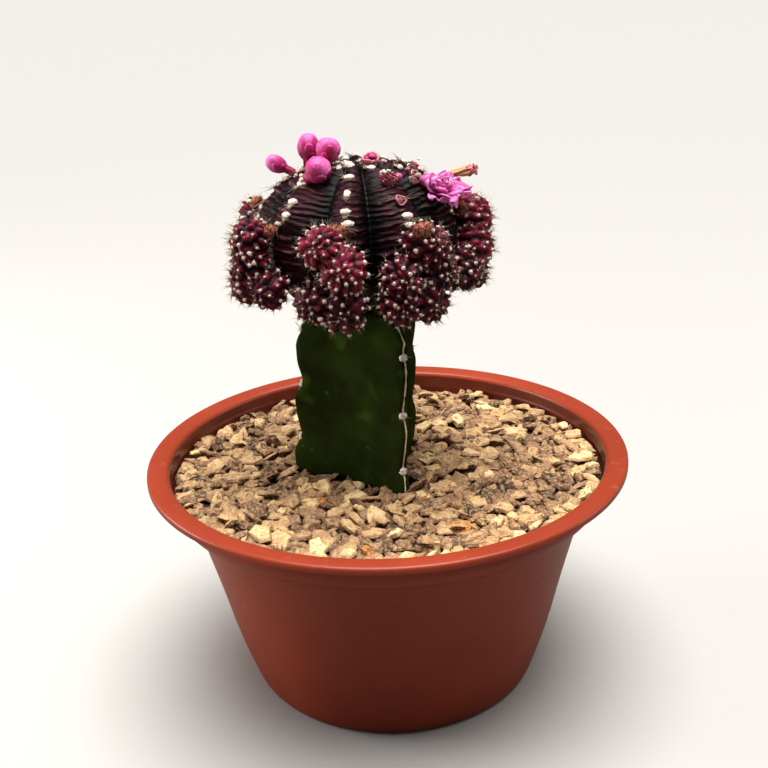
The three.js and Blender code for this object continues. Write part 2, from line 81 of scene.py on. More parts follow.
stage = {
    "floorSize": 60.0,
    "floorColour": (0.42, 0.415, 0.405),
    "floorRoughness": 0.95,
    "floorSpecular": 0.1,
    "floorBounce": (0.18, 0.165, 0.145),      # what the floor gives back to the plant
    "fill": ((1.0, 0.97, 0.93), 0.06),        # dim light from all round
    "backdrop": ((0.86, 0.85, 0.83), 1.0),    # what the camera sees past the floor
    "sky": {"strength": 6.7, "spread": 50, "from": (0.05, 0.0, 1.0), "colour": (1.0, 0.975, 0.94)},
    "lights": [
        # name, place, what it points at, size, watts, colour
        ("leftSide", (-520, 60, 170), (0, 0, 50), 260, 2.3, (1.0, 0.96, 0.92)),
        ("rightSide", (560, 40, 150), (0, 0, 40), 260, 0.6, (1.0, 0.97, 0.94)),
        ("frontFill", (-140, -620, 420), (0, 0, 100), 300, 0.15, (1.0, 0.98, 0.96)),
    ],
}


def aim(lamp, way):
    lamp.rotation_euler = Vector(way).to_track_quat("-Z", "Y").to_euler()
    bpy.context.scene.collection.objects.link(lamp)


def makeWorld(fill, backdrop):
    world = bpy.data.worlds.new("studio")
    world.use_nodes = True
    tree = world.node_tree
    tree.nodes.clear()
    looks = []
    for colour, strength in (fill, backdrop):
        back = tree.nodes.new("ShaderNodeBackground")
        back.inputs["Color"].default_value = (*colour, 1)
        back.inputs["Strength"].default_value = strength
        looks.append(back)
    rays = tree.nodes.new("ShaderNodeLightPath")
    choose = tree.nodes.new("ShaderNodeMixShader")
    leave = tree.nodes.new("ShaderNodeOutputWorld")
    tree.links.new(rays.outputs["Is Camera Ray"], choose.inputs[0])
    tree.links.new(looks[0].outputs[0], choose.inputs[1])
    tree.links.new(looks[1].outputs[0], choose.inputs[2])
    tree.links.new(choose.outputs[0], leave.inputs["Surface"])
    bpy.context.scene.world = world


def makeStage(s):
    half = s["floorSize"] / 2
    mesh = bpy.data.meshes.new("floor")
    corners = [(-half, -half, 0), (half, -half, 0), (half, half, 0), (-half, half, 0)]
    mesh.from_pydata(corners, [], [(0, 1, 2, 3)])
    floor = bpy.data.objects.new("floor", mesh)
    bpy.context.scene.collection.objects.link(floor)
    paper = bpy.data.materials.new("paperFloor")
    paper.use_nodes = True
    shader = paper.node_tree.nodes["Principled BSDF"]
    rays = paper.node_tree.nodes.new("ShaderNodeLightPath")
    choose = paper.node_tree.nodes.new("ShaderNodeMix")
    choose.data_type = "RGBA"
    choose.inputs[6].default_value = (*s["floorBounce"], 1)
    choose.inputs[7].default_value = (*s["floorColour"], 1)
    paper.node_tree.links.new(rays.outputs["Is Camera Ray"], choose.inputs[0])
    paper.node_tree.links.new(choose.outputs[2], shader.inputs["Base Color"])
    shader.inputs["Roughness"].default_value = s["floorRoughness"]
    shader.inputs["Specular IOR Level"].default_value = s["floorSpecular"]
    mesh.materials.append(paper)
    floor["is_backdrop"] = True
    makeWorld(s["fill"], s["backdrop"])
    sky = bpy.data.lights.new("sky", "SUN")
    sky.energy = s["sky"]["strength"]
    sky.angle = math.radians(s["sky"]["spread"])
    sky.color = s["sky"]["colour"]
    aim(bpy.data.objects.new("sky", sky), -Vector(s["sky"]["from"]))
    for name, place, target, size, watts, colour in s["lights"]:
        data = bpy.data.lights.new(name, "AREA")
        data.shape = "SQUARE"
        data.size = size * mm
        data.energy = watts
        data.color = colour
        lamp = bpy.data.objects.new(name, data)
        lamp.location = Vector(place) * mm
        aim(lamp, Vector(target) - Vector(place))
    bpy.context.scene.view_settings.view_transform = "Standard"


makeCamera(camera)
makeStage(stage)
print("camera and stage ready")


# Meshes from shells of points

class Heap:
    # Gathers the shells of one piece, each with a tone that its material reads
    def __init__(self):
        self.points = []
        self.faces = []
        self.tones = []
        self.slots = []
        self.smooth = []
        self.count = 0

    def add(self, points, faces, tone=0.5, slot=0, smooth=True):
        points = np.asarray(points, float).reshape(-1, 3)
        tones = np.broadcast_to(np.asarray(tone, float), (len(points),))
        for block in faces:
            block = (np.asarray(block, int) + self.count).tolist()
            self.faces.extend(block)
            self.slots.extend([slot] * len(block))
            self.smooth.extend([smooth] * len(block))
        self.points.append(points)
        self.tones.append(tones)
        self.count += len(points)

    def build(self, name, materials):
        mesh = bpy.data.meshes.new(name)
        points = np.concatenate(self.points) * mm
        mesh.from_pydata(points.tolist(), [], self.faces)
        mesh.polygons.foreach_set("use_smooth", self.smooth)
        mesh.polygons.foreach_set("material_index", self.slots)
        tone = mesh.attributes.new("tone", "FLOAT", "POINT")
        tone.data.foreach_set("value", np.concatenate(self.tones).astype(np.float32))
        for material in materials:
            mesh.materials.append(material)
        mesh.update()
        piece = bpy.data.objects.new(name, mesh)
        bpy.context.scene.collection.objects.link(piece)
        return piece


def place(piece, slot, nodes=()):
    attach(piece, "root")
    if nodes:
        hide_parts(*nodes)


# Faces of a skin over rows of points, each row a closed ring, with a pole at either end
def ringFaces(rows, columns):
    row, column = np.meshgrid(np.arange(rows - 1), np.arange(columns), indexing="ij")
    here = row * columns + column
    beside = row * columns + (column + 1) % columns
    quads = np.stack([here, beside, beside + columns, here + columns], -1).reshape(-1, 4)
    around = np.arange(columns)
    ahead = (around + 1) % columns
    low = np.stack([np.full(columns, rows * columns), ahead, around], -1)
    top = (rows - 1) * columns
    high = np.stack([np.full(columns, rows * columns + 1), top + around, top + ahead], -1)
    return [quads, low, high]


def ringSkin(rings, bottom, top):
    rings = np.asarray(rings, float)
    points = np.concatenate([rings.reshape(-1, 3), [bottom], [top]])
    return points, ringFaces(rings.shape[0], rings.shape[1])


# Closed thin sheet from a grid of points, thickened to both sides along its normals
def sheetSkin(grid, thickness):
    rows, columns = grid.shape[:2]
    alongRow = np.gradient(grid, axis=0)
    alongColumn = np.gradient(grid, axis=1)
    normal = np.cross(alongRow, alongColumn)
    normal /= np.maximum(np.linalg.norm(normal, axis=-1, keepdims=True), 1e-9)
    half = thickness / 2
    points = np.concatenate([(grid + normal * half).reshape(-1, 3), (grid - normal * half).reshape(-1, 3)])
    row, column = np.meshgrid(np.arange(rows - 1), np.arange(columns - 1), indexing="ij")
    a = (row * columns + column).ravel()
    front = np.stack([a, a + columns, a + columns + 1, a + 1], -1)
    back = front[:, ::-1] + rows * columns
    rim = [r * columns for r in range(rows)]
    rim += [(rows - 1) * columns + c for c in range(1, columns)]
    rim += [r * columns + columns - 1 for r in range(rows - 2, -1, -1)]
    rim += [c for c in range(columns - 2, 0, -1)]
    rim = np.array(rim)
    ahead = np.roll(rim, -1)
    under = rows * columns
    side = np.stack([rim, rim + under, ahead + under, ahead], -1)
    return points, [front, back, side]


fullTurn = 6.28    # radians, for random directions


def unit(v):
    v = np.asarray(v, float)
    return v / np.linalg.norm(v)


# Angles of evenly spaced points once round
def onceRound(count):
    return np.arange(count) * 2 * math.pi / count


# Directions that point out all round an axis, from two sides square to it
def outAround(turn, side, other):
    return np.outer(np.cos(turn), side) + np.outer(np.sin(turn), other)


# Directions at an angle from a pole, at a turn round it
def onBall(turn, lean):
    return np.stack([np.cos(turn) * np.sin(lean), np.sin(turn) * np.sin(lean), np.cos(lean)], -1)


# Two directions square to a third
def sidesOf(direction):
    helper = np.array([0.0, 0.0, 1.0]) if abs(direction[2]) < 0.9 else np.array([1.0, 0.0, 0.0])
    side = unit(np.cross(helper, direction))
    return side, np.cross(direction, side)


lastRing = 0.94    # share of a shell's length where its last ring lies, just short of the tip
hairRadius = 0.07


# Tapering spine along a curve that bends towards a pull
def addSpine(heap, root, direction, length, radius, pull=(0, 0, 0), steps=4, sides=4, slot=0):
    direction = unit(direction)
    side, other = sidesOf(direction)
    pull = np.asarray(pull, float)
    around = outAround(onceRound(sides), side, other)
    share = np.linspace(0, lastRing, steps)
    middles = root + np.outer(share * length, direction) + np.outer(share**2 * length, pull)
    rings = middles[:, None] + around[None] * (radius * (1 - share))[:, None, None]
    tip = root + direction * length + pull * length
    points, faces = ringSkin(rings, root - direction * radius, tip)
    tones = np.concatenate([np.repeat(share, sides), [0, 1]])
    heap.add(points, faces, tones, slot)


needle = {"sunk": 0.15, "corners": (0, 2.1, 4.2)}    # depth of its foot, and angles of its three edges


def addNeedle(heap, root, direction, length, radius, slot=0):
    direction = unit(direction)
    side, other = sidesOf(direction)
    foot = root - direction * needle["sunk"]
    base = [foot + (side * math.cos(a) + other * math.sin(a)) * radius for a in needle["corners"]]
    faces = [[(0, 1, 3), (1, 2, 3), (2, 0, 3), (2, 1, 0)]]
    heap.add([*base, root + direction * length], faces, [0, 0, 0, 1], slot)


felting = {
    "from": -0.25, "ruffled": 0.5, "hairLean": (0.15, 1.1), "hairFrom": 0.85, "hairLength": (0.25, 0.5),
}


# Felted tuft: a knobbly low dome with short hairs standing out of it
def addWool(heap, rng, root, out, wide, tall, hairs, slot=0,
            detail=(5, 10), stretch=1.0, tones=(0.2, 0.9), ragged=0.12):
    out = unit(out)
    side, other = sidesOf(out)
    side = side * stretch
    rows, columns = detail
    turn = onceRound(columns)
    rings = []
    for rise in np.linspace(felting["from"], lastRing, rows):
        reach = math.sqrt(1 - rise * rise) * wide * (1 + ragged * rng.standard_normal(columns))
        ring = np.outer(np.cos(turn) * reach, side) + np.outer(np.sin(turn) * reach, other)
        lift = ragged * felting["ruffled"] * tall * rng.standard_normal(columns)
        rings.append(root + ring + np.outer(rise * tall + lift, out))
    shades = np.concatenate([np.repeat(np.linspace(*tones, rows), columns), tones])
    points, faces = ringSkin(rings, root - out * tall * 0.5, root + out * tall)
    heap.add(points, faces, shades, slot)
    for _ in range(hairs):
        turnBy = rng.uniform(0, 2 * math.pi)
        lean = rng.uniform(*felting["hairLean"])
        way = math.sin(lean) * (math.cos(turnBy) * side + math.sin(turnBy) * other)
        start = root + way * wide * felting["hairFrom"] + out * math.cos(lean) * tall * felting["hairFrom"]
        length = wide * rng.uniform(*felting["hairLength"])
        addNeedle(heap, start, way + out * math.cos(lean), length, hairRadius, slot)


def smoothNoise(points, scale):
    return np.array([noise.noise(Vector(p) * scale) for p in np.asarray(points).reshape(-1, 3)])


# Shader groups that several finishes share

def linear(red, green, blue):
    def channel(value):
        value /= 255
        return value / 12.92 if value <= 0.04045 else ((value + 0.055) / 1.055) ** 2.4
    return (channel(red), channel(green), channel(blue), 1)


def wire(tree, target, value):
    if isinstance(value, bpy.types.NodeSocket):
        tree.links.new(value, target)
    else:
        target.default_value = value


def addNode(tree, kind, inputs=None, **settings):
    made = tree.nodes.new(kind)
    for key, value in settings.items():
        setattr(made, key, value)
    for key, value in (inputs or {}).items():
        wire(tree, made.inputs[key], value)
    return made


def newGroup(name, inputs, outputs):
    tree = bpy.data.node_groups.new(name, "ShaderNodeTree")
    for label, kind, start in inputs:
        socket = tree.interface.new_socket(name=label, in_out="INPUT", socket_type=kind)
        socket.default_value = start
    for label, kind in outputs:
        tree.interface.new_socket(name=label, in_out="OUTPUT", socket_type=kind)
    entry = tree.nodes.new("NodeGroupInput")
    leave = tree.nodes.new("NodeGroupOutput")
    return tree, entry.outputs, leave.inputs


def makeMottle():
    # Soft patches: 0 to 1, from a noise cut between two levels
    tree, given, wanted = newGroup(
        "mottle",
        [("Scale", "NodeSocketFloat", 60.0), ("Low", "NodeSocketFloat", 0.4),
         ("High", "NodeSocketFloat", 0.65), ("Detail", "NodeSocketFloat", 3.0)],
        [("Mask", "NodeSocketFloat")],
    )
    at = addNode(tree, "ShaderNodeTexCoord").outputs["Object"]
    patches = addNode(tree, "ShaderNodeTexNoise", {
        "Vector": at, "Scale": given["Scale"], "Detail": given["Detail"], "Roughness": 0.6,
    })
    cut = addNode(tree, "ShaderNodeMapRange", {
        "Value": patches.outputs["Fac"], "From Min": given["Low"], "From Max": given["High"],
    }, interpolation_type="SMOOTHSTEP")
    wire(tree, wanted["Mask"], cut.outputs["Result"])
    return tree


def makeSpecks():
    # Small round dots: some cells of a Voronoi pattern, cut near their middles
    tree, given, wanted = newGroup(
        "specks",
        [("Scale", "NodeSocketFloat", 300.0), ("Size", "NodeSocketFloat", 0.2),
         ("Share", "NodeSocketFloat", 0.2)],
        [("Mask", "NodeSocketFloat")],
    )
    at = addNode(tree, "ShaderNodeTexCoord").outputs["Object"]
    cells = addNode(tree, "ShaderNodeTexVoronoi", {"Vector": at, "Scale": given["Scale"]})
    near = addNode(tree, "ShaderNodeMath", {0: cells.outputs["Distance"], 1: given["Size"]},
                   operation="LESS_THAN")
    split = addNode(tree, "ShaderNodeSeparateColor", {"Color": cells.outputs["Color"]})
    some = addNode(tree, "ShaderNodeMath", {0: split.outputs["Red"], 1: given["Share"]},
                   operation="LESS_THAN")
    both = addNode(tree, "ShaderNodeMath", {0: near.outputs[0], 1: some.outputs[0]},
                   operation="MULTIPLY")
    wire(tree, wanted["Mask"], both.outputs[0])
    return tree


def makeGrain():
    # Height of a coarse and a fine noise together, for Bump
    tree, given, wanted = newGroup(
        "grain",
        [("Coarse", "NodeSocketFloat", 200.0), ("Fine", "NodeSocketFloat", 1500.0),
         ("Fine Share", "NodeSocketFloat", 0.4)],
        [("Height", "NodeSocketFloat")],
    )
    at = addNode(tree, "ShaderNodeTexCoord").outputs["Object"]
    coarse = addNode(tree, "ShaderNodeTexNoise", {"Vector": at, "Scale": given["Coarse"], "Detail": 4.0})
    fine = addNode(tree, "ShaderNodeTexNoise", {"Vector": at, "Scale": given["Fine"], "Detail": 2.0})
    both = addNode(tree, "ShaderNodeMix", {
        "Factor": given["Fine Share"], 2: coarse.outputs["Fac"], 3: fine.outputs["Fac"],
    }, data_type="FLOAT")
    wire(tree, wanted["Height"], both.outputs[0])
    return tree


groups = {"mottle": makeMottle(), "specks": makeSpecks(), "grain": makeGrain()}


class Finish:
    # One material: its tree, its shader, and short ways to add what feeds it
    def __init__(self, name, roughness, **fixed):
        self.material = bpy.data.materials.new(name)
        self.material.use_nodes = True
        self.tree = self.material.node_tree
        self.shader = self.tree.nodes["Principled BSDF"]
        self.shader.inputs["Roughness"].default_value = roughness
        for key, value in fixed.items():
            self.shader.inputs[key.replace("_", " ")].default_value = value

    def group(self, name, **inputs):
        made = self.tree.nodes.new("ShaderNodeGroup")
        made.node_tree = groups[name]
        for key, value in inputs.items():
            wire(self.tree, made.inputs[key.replace("_", " ")], value)
        return made.outputs[0]

    def mottle(self, scale, low, high, detail=3.0):
        return self.group("mottle", Scale=scale, Low=low, High=high, Detail=detail)

    def specks(self, scale, size, share):
        return self.group("specks", Scale=scale, Size=size, Share=share)

    def tone(self):
        return addNode(self.tree, "ShaderNodeAttribute", attribute_name="tone").outputs["Fac"]

    def ramp(self, factor, stops):
        made = addNode(self.tree, "ShaderNodeValToRGB", {"Fac": factor})
        elements = made.color_ramp.elements
        while len(elements) < len(stops):
            elements.new(1.0)
        for element, (position, colour) in zip(elements, stops):
            element.position = position
            element.color = linear(*colour)
        return made.outputs["Color"]

    def mix(self, factor, first, second):
        made = addNode(self.tree, "ShaderNodeMix", data_type="RGBA")
        wire(self.tree, made.inputs[0], factor)
        wire(self.tree, made.inputs[6], first)
        wire(self.tree, made.inputs[7], second)
        return made.outputs[2]

    def rangeOf(self, value, low, high):
        made = addNode(self.tree, "ShaderNodeMapRange", {"Value": value, "To Min": low, "To Max": high})
        return made.outputs["Result"]

    # Lays a colour over the base where a mask is high, by its share at most
    def cover(self, base, mask, share, colour):
        return self.mix(self.rangeOf(mask, 0.0, share), base, linear(*colour))

    def colour(self, value):
        wire(self.tree, self.shader.inputs["Base Color"], value)

    def roughness(self, value):
        wire(self.tree, self.shader.inputs["Roughness"], value)

    def grain(self, coarse, fine, share, depth, strength):
        height = self.group("grain", Coarse=coarse, Fine=fine, Fine_Share=share)
        made = addNode(self.tree, "ShaderNodeBump", {
            "Height": height, "Distance": depth * mm, "Strength": strength,
        })
        wire(self.tree, self.shader.inputs["Normal"], made.outputs["Normal"])


# Pot

pot = {
    "height": 60, "rim": 60, "mouth": 54.6, "base": 36, "wall": 0.9, "floor": 1.6,
    "lipDrop": 1.8, "lipCrown": 57.2, "lipInside": 0.5, "collar": 55.3, "collarFoot": 53.4,
    "shoulderFoot": 49.5, "shoulderStep": (3.4, 1.0), "innerStep": (2.6, 1.9),
    "bodyTop": 49.9, "midBody": (44.9, 30), "lowBody": (41.5, 15), "heel": (37.5, 2.2),
    "underDish": (27, 29, 0.9),    # radii of the hollow under the base, and its depth
    "innerLedge": [(54.5, 56.4, 0.4), (54.3, 55.8, 0.3), (54.3, 53.6, 1.2)],
    "drainHoles": 6, "drainRadius": 2.6, "drainRing": 22, "drill": (-3.0, 4.0), "drillSides": 24,
    "sides": 192,
}


plastic = {
    "base": ((139, 53, 33), (151, 59, 37)), "scuffs": (180, 98, 74), "dust": (200, 160, 140),
    # the inner wall's darker colour is painted shade
    "insideShade": (98, 38, 24), "specular": 0.26, "roughness": (0.33, 0.55),
}


def potFinish(c):
    f = Finish("terracottaPlastic", 0.42, Specular_IOR_Level=c["specular"])
    cloud = f.mottle(26.0, 0.35, 0.75)
    worn = f.mottle(340.0, 0.6, 0.75)
    base = f.mix(cloud, *[linear(*colour) for colour in c["base"]])
    scuffed = f.cover(base, worn, 0.14, c["scuffs"])
    dusted = f.cover(scuffed, f.specks(420.0, 0.12, 0.02), 0.75, c["dust"])
    f.colour(f.mix(f.tone(), dusted, linear(*c["insideShade"])))    # the tone marks the inner wall, darkened with painted shade
    f.roughness(f.rangeOf(worn, *c["roughness"]))
    f.grain(90.0, 1600.0, 0.25, 0.12, 0.35)
    return f.material


# Outline with its corners rounded, each point being radius, height and how round
def roundedOutline(points, arcSteps=5):
    outline = []
    for i, (radius, height, soft) in enumerate(points):
        here = np.array([radius, height], float)
        if soft == 0 or i in (0, len(points) - 1):
            outline.append(here)
            continue
        before = np.array(points[i - 1][:2], float) - here
        after = np.array(points[i + 1][:2], float) - here
        start = here + before * min(0.49, soft / np.linalg.norm(before))
        end = here + after * min(0.49, soft / np.linalg.norm(after))
        for t in np.linspace(0, 1, arcSteps):
            outline.append((1 - t) ** 2 * start + 2 * t * (1 - t) * here + t * t * end)
    return np.array(outline)


def turnedSkin(outline, sides):
    turn = onceRound(sides)
    rings = np.stack([
        np.outer(outline[1:-1, 0], np.cos(turn)), np.outer(outline[1:-1, 0], np.sin(turn)),
        np.repeat(outline[1:-1, 1:2], sides, axis=1),
    ], -1)
    return ringSkin(rings, [0, 0, outline[0, 1]], [0, 0, outline[-1, 1]])


# Corners as radius, height and roundness, from under the middle up, over the lip and down inside
def potOutline(p):
    wall = p["wall"]
    under = p["height"] - wall
    lip = p["height"] - p["lipDrop"]
    dishInner, dishOuter, dishDepth = p["underDish"]
    return roundedOutline([
        (0, dishDepth, 0), (dishInner, dishDepth, 1.2), (dishOuter, 0, 0.8), (p["base"], 0, 0.8),
        (*p["heel"], 2.0), (*p["lowBody"], 6), (*p["midBody"], 6), (p["bodyTop"], p["shoulderFoot"], 0.5),
        (p["bodyTop"] + p["shoulderStep"][0], p["shoulderFoot"] + p["shoulderStep"][1], 2.4),
        (p["collar"], p["collarFoot"], 1.6), (p["collar"], under, 0.4), (p["rim"] - wall, under, 0.3),
        (p["rim"] - wall, lip, 0.3), (p["rim"], lip, 0.35), (p["rim"], p["height"], 0.9),
        (p["lipCrown"], p["height"], 1.5), (p["mouth"], p["height"] - p["lipInside"], 1.0), *p["innerLedge"],
        (p["bodyTop"] + p["innerStep"][0], p["shoulderFoot"] + p["innerStep"][1], 2.0),
        (p["bodyTop"] - wall, p["shoulderFoot"] + wall, 0.6), (p["midBody"][0] - wall, p["midBody"][1], 4),
        (p["lowBody"][0] - wall, p["lowBody"][1], 4), (p["heel"][0] - wall, p["heel"][1] + 1, 1.5),
        (p["base"] - wall, p["floor"], 1.0), (0, p["floor"], 0),
    ])


def drillHoles(piece, p):
    low, high = p["drill"]
    radius = p["drainRadius"]
    outline = np.array([(0, low), (radius, low), (radius, high), (0, high)])
    bit, bitFaces = turnedSkin(outline, p["drillSides"])
    bits = Heap()
    for angle in onceRound(p["drainHoles"]):
        bits.add(bit + [p["drainRing"] * math.cos(angle), p["drainRing"] * math.sin(angle), 0], bitFaces)
    drill = bits.build("drill", [])
    cut = piece.modifiers.new("drainHoles", "BOOLEAN")
    cut.object = drill
    cut.operation = "DIFFERENCE"
    cut.solver = "EXACT"
    depsgraph = bpy.context.evaluated_depsgraph_get()
    drilled = bpy.data.meshes.new_from_object(piece.evaluated_get(depsgraph))
    piece.modifiers.clear()
    piece.data = drilled
    bpy.data.objects.remove(drill)


def makePot(p):
    outline = potOutline(p)
    heap = Heap()
    points, faces = turnedSkin(outline, p["sides"])
    # Points of the inner wall get tone one: painted shade on the inside
    inside = (np.arange(len(outline)) > outline[:, 1].argmax()) & (outline[:, 0] < p["mouth"] - 0.02)
    heap.add(points, faces, [*np.repeat(inside[1:-1], p["sides"]), 0, 1])
    piece = heap.build("fine_pot", [potFinish(plastic)])
    drillHoles(piece, p)
    place(piece, "terracotta_plastic", ["pot"])


makePot(pot)
print("pot made")


# Rootstock

stem = {
    "x": -4, "y": 1, "foot": 34, "waist": 50, "ground": 54, "shoulder": 92.6, "top": 97,
    "radius": 18.8, "shoulderRadius": 17.7, "topRadius": 12.2, "footRadius": 15, "lean": 0.045,
    "faceHollow": 1.3, "edgeHalfWidth": 1.3, "wingShoulder": 0.965,
    "scallopDepth": 1.0, "scallopPeriod": 14.4,
    "scallopShape": ([0, 0.22, 0.6, 0.93, 1], [-0.5, 1, 0.45, -0.9, -0.9]),
    "ribs": [(176, 91.7), (294.5, 89.0), (55, 81.0)],    # direction from +X, height of the highest areole
    "buried": 42, "fineFrom": 51.5, "fineTo": 96.2, "topEdge": (96.5, 96.7, 0.05),
    "swells": [(0.13, 0.26), (0.5, 0.06)],    # scale and height of the skin's unevenness
    "levels": 170, "columns": 144, "edgeTone": 0.22,
}


def stemAxis(z):
    return (z - stem["ground"]) * stem["lean"]


def ribReach(rib, z):
    z = np.asarray(z, float)
    body = np.interp(z, [stem["foot"], stem["waist"], stem["shoulder"], stem["top"]],
                     [stem["footRadius"], stem["radius"], stem["shoulderRadius"], stem["topRadius"]])
    total = np.zeros_like(z)
    for shift in np.linspace(-1.1, 1.1, 5):
        phase = np.mod((rib[1] - z + shift) / stem["scallopPeriod"], 1)
        total += np.interp(phase, *stem["scallopShape"]) / 5
    fade = np.clip((stem["shoulder"] + 1.5 - z) / 3, 0, 1)
    return body + total * stem["scallopDepth"] * fade


# Level section of the stem as a smooth closed loop through the rib tips and hollow faces
def stemSection(z, grow=0.0):
    knots = []
    tips = []
    for rib in stem["ribs"]:
        angle = math.radians(rib[0])
        tips.append(np.array([math.cos(angle), math.sin(angle)]) * (ribReach(rib, z) + grow))
    for i, tip in enumerate(tips):
        ahead = tips[(i + 1) % len(tips)]
        side = unit([-tip[1], tip[0]])
        sideAhead = unit([-ahead[1], ahead[0]])
        start = tip * stem["wingShoulder"] + side * stem["edgeHalfWidth"]
        end = ahead * stem["wingShoulder"] - sideAhead * stem["edgeHalfWidth"]
        inward = -unit(start + end)
        knots += [tip, start]
        for t in (0.25, 0.5, 0.75):
            knots.append(start + (end - start) * t + inward * (stem["faceHollow"] * 4 * t * (1 - t) - grow))
        knots.append(end)
    knots = np.array(knots)
    before, after, beyond = np.roll(knots, 1, 0), np.roll(knots, -1, 0), np.roll(knots, -2, 0)
    steps = stem["columns"] // len(knots)
    loop = []
    for k in range(len(knots)):
        for t in np.arange(steps) / steps:
            a = 2 * knots[k]
            b = (after[k] - before[k]) * t
            c = (2 * before[k] - 5 * knots[k] + 4 * after[k] - beyond[k]) * t**2
            d = (3 * knots[k] - before[k] - 3 * after[k] + beyond[k]) * t**3
            loop.append((a + b + c + d) / 2)
    return np.array(loop)


greenSkin = {
    "base": ((29, 37, 14), (43, 55, 19)), "pale": (66, 88, 30), "dots": (78, 96, 50),
    "bigDots": (130, 140, 100), "edge": (78, 84, 40), "roughness": (0.5, 0.68),
    "glow": (0.001, 0.002, 0.0006),
}


def stemFinish(c):
    f = Finish("waxyGreenStem", 0.6, Specular_IOR_Level=0.0, Subsurface_Weight=0.06)
    f.shader.inputs["Subsurface Radius"].default_value = c["glow"]
    f.shader.inputs["Subsurface Scale"].default_value = 0.5
    patches = f.mottle(70.0, 0.38, 0.72)
    skin = f.mix(patches, *[linear(*colour) for colour in c["base"]])
    skin = f.cover(skin, f.mottle(130.0, 0.62, 0.78, 1.0), 0.5, c["pale"])
    skin = f.cover(skin, f.specks(420.0, 0.2, 0.10), 0.35, c["dots"])
    skin = f.cover(skin, f.specks(95.0, 0.11, 0.16), 0.7, c["bigDots"])
    f.colour(f.mix(f.tone(), skin, linear(*c["edge"])))    # the tone marks the wing edges
    f.roughness(f.rangeOf(patches, *c["roughness"]))
    f.grain(160.0, 1900.0, 0.3, 0.3, 0.3)
    return f.material


# Two colours in soft patches
def patchFinish(name, roughness, dark, pale, patches, grain):
    f = Finish(name, roughness)
    f.colour(f.mix(f.mottle(*patches), linear(*dark), linear(*pale)))
    f.grain(*grain)
    return f.material


# Three colours along the tone, from root to tip, under patches of a fourth
def rootToTipFinish(name, roughness, colours, middle, patches, share, over, grain=None, **fixed):
    f = Finish(name, roughness, **fixed)
    body = f.ramp(f.tone(), list(zip((0.0, middle, 1.0), colours)))
    f.colour(f.cover(body, f.mottle(*patches), share, over))
    if grain:
        f.grain(*grain)
    return f.material


felt = {
    "roughness": 0.95, "middle": 0.35, "patches": (1300.0, 0.35, 0.7), "share": 0.3, "over": (196, 172, 146),
    "grain": (1800.0, 4200.0, 0.5, 0.35, 1.0), "Sheen_Weight": 0.35, "Sheen_Roughness": 0.6,
}
wool = rootToTipFinish("areoleWool", colours=((128, 102, 84), (222, 208, 190), (246, 240, 228)), **felt)
pinkWool = rootToTipFinish("pinkWool", colours=((128, 62, 66), (212, 150, 150), (240, 208, 202)), **felt)
horn = rootToTipFinish("hornySpine", 0.5, ((150, 124, 94), (104, 80, 60), (42, 28, 22)), 0.5,
                       (700.0, 0.35, 0.7), 0.6, (196, 178, 150))
cork = patchFinish("dryCork", 0.85, (212, 194, 164), (250, 240, 218), (900.0, 0.35, 0.7),
                   (900.0, 3000.0, 0.5, 0.3, 0.9))


def stemSurface():
    bevelFrom, bevelLevel, bevel = stem["topEdge"]
    levels = np.concatenate([
        [stem["foot"], stem["buried"], stem["waist"]],
        np.linspace(stem["fineFrom"], stem["fineTo"], stem["levels"]), [bevelLevel, stem["top"]],
    ])
    rings = np.zeros((len(levels), stem["columns"], 3))
    for row, z in enumerate(levels):
        loop = stemSection(z)
        if z > bevelFrom:
            loop *= 1 - (z - bevelFrom) * bevel
        rings[row, :, :2] = loop
        rings[row, :, 0] += stemAxis(z)
        rings[row, :, 2] = z
    middle = np.stack([stemAxis(levels), np.zeros(len(levels))], -1)
    flat = rings.reshape(-1, 3)
    swell = sum(smoothNoise(flat, scale) * height for scale, height in stem["swells"])
    out = rings[:, :, :2] - middle[:, None]
    out /= np.linalg.norm(out, axis=-1, keepdims=True)
    swell = swell.reshape(rings.shape[:2]) * (rings[:, :, 2] > stem["waist"])
    rings[:, :, :2] += out * swell[..., None]
    return levels, rings


stemHome = np.array([stem["x"], stem["y"], 0.0])
wingStep = stem["columns"] // len(stem["ribs"])    # columns of skin from one wing to the next


def makeStemSkin(levels, rings):
    column = np.arange(stem["columns"])
    half = stem["columns"] / 2
    edge = np.zeros(stem["columns"])
    for rib in range(len(stem["ribs"])):
        away = np.abs((column - rib * wingStep + half) % stem["columns"] - half)
        edge = np.maximum(edge, np.clip(1 - away / 3, 0, 1))
    tones = np.concatenate([np.tile(edge * stem["edgeTone"], len(levels)), [0, 0]])
    poles = [[stemAxis(z), 0, z] for z in (levels[0], levels[-1])]
    points, faces = ringSkin(rings, *poles)
    heap = Heap()
    heap.add(points + stemHome, faces, tones)
    place(heap.build("fine_rootstock", [stemFinish(greenSkin)]), "green_stem", ["rootstock"])


# Dry line along each wing: its half width, and how broken it is
corkLines = [(0.18, 0.35), (0.22, 0.0), (0.2, 0.3)]
corkLine = {
    "sides": 6, "drift": (0.22, 0.55), "breadth": (0.6, 1.1),    # noise scale, and how much it does
    "narrowest": 0.05, "widest": 1.7, "flat": 0.55, "lift": 0.02,
}


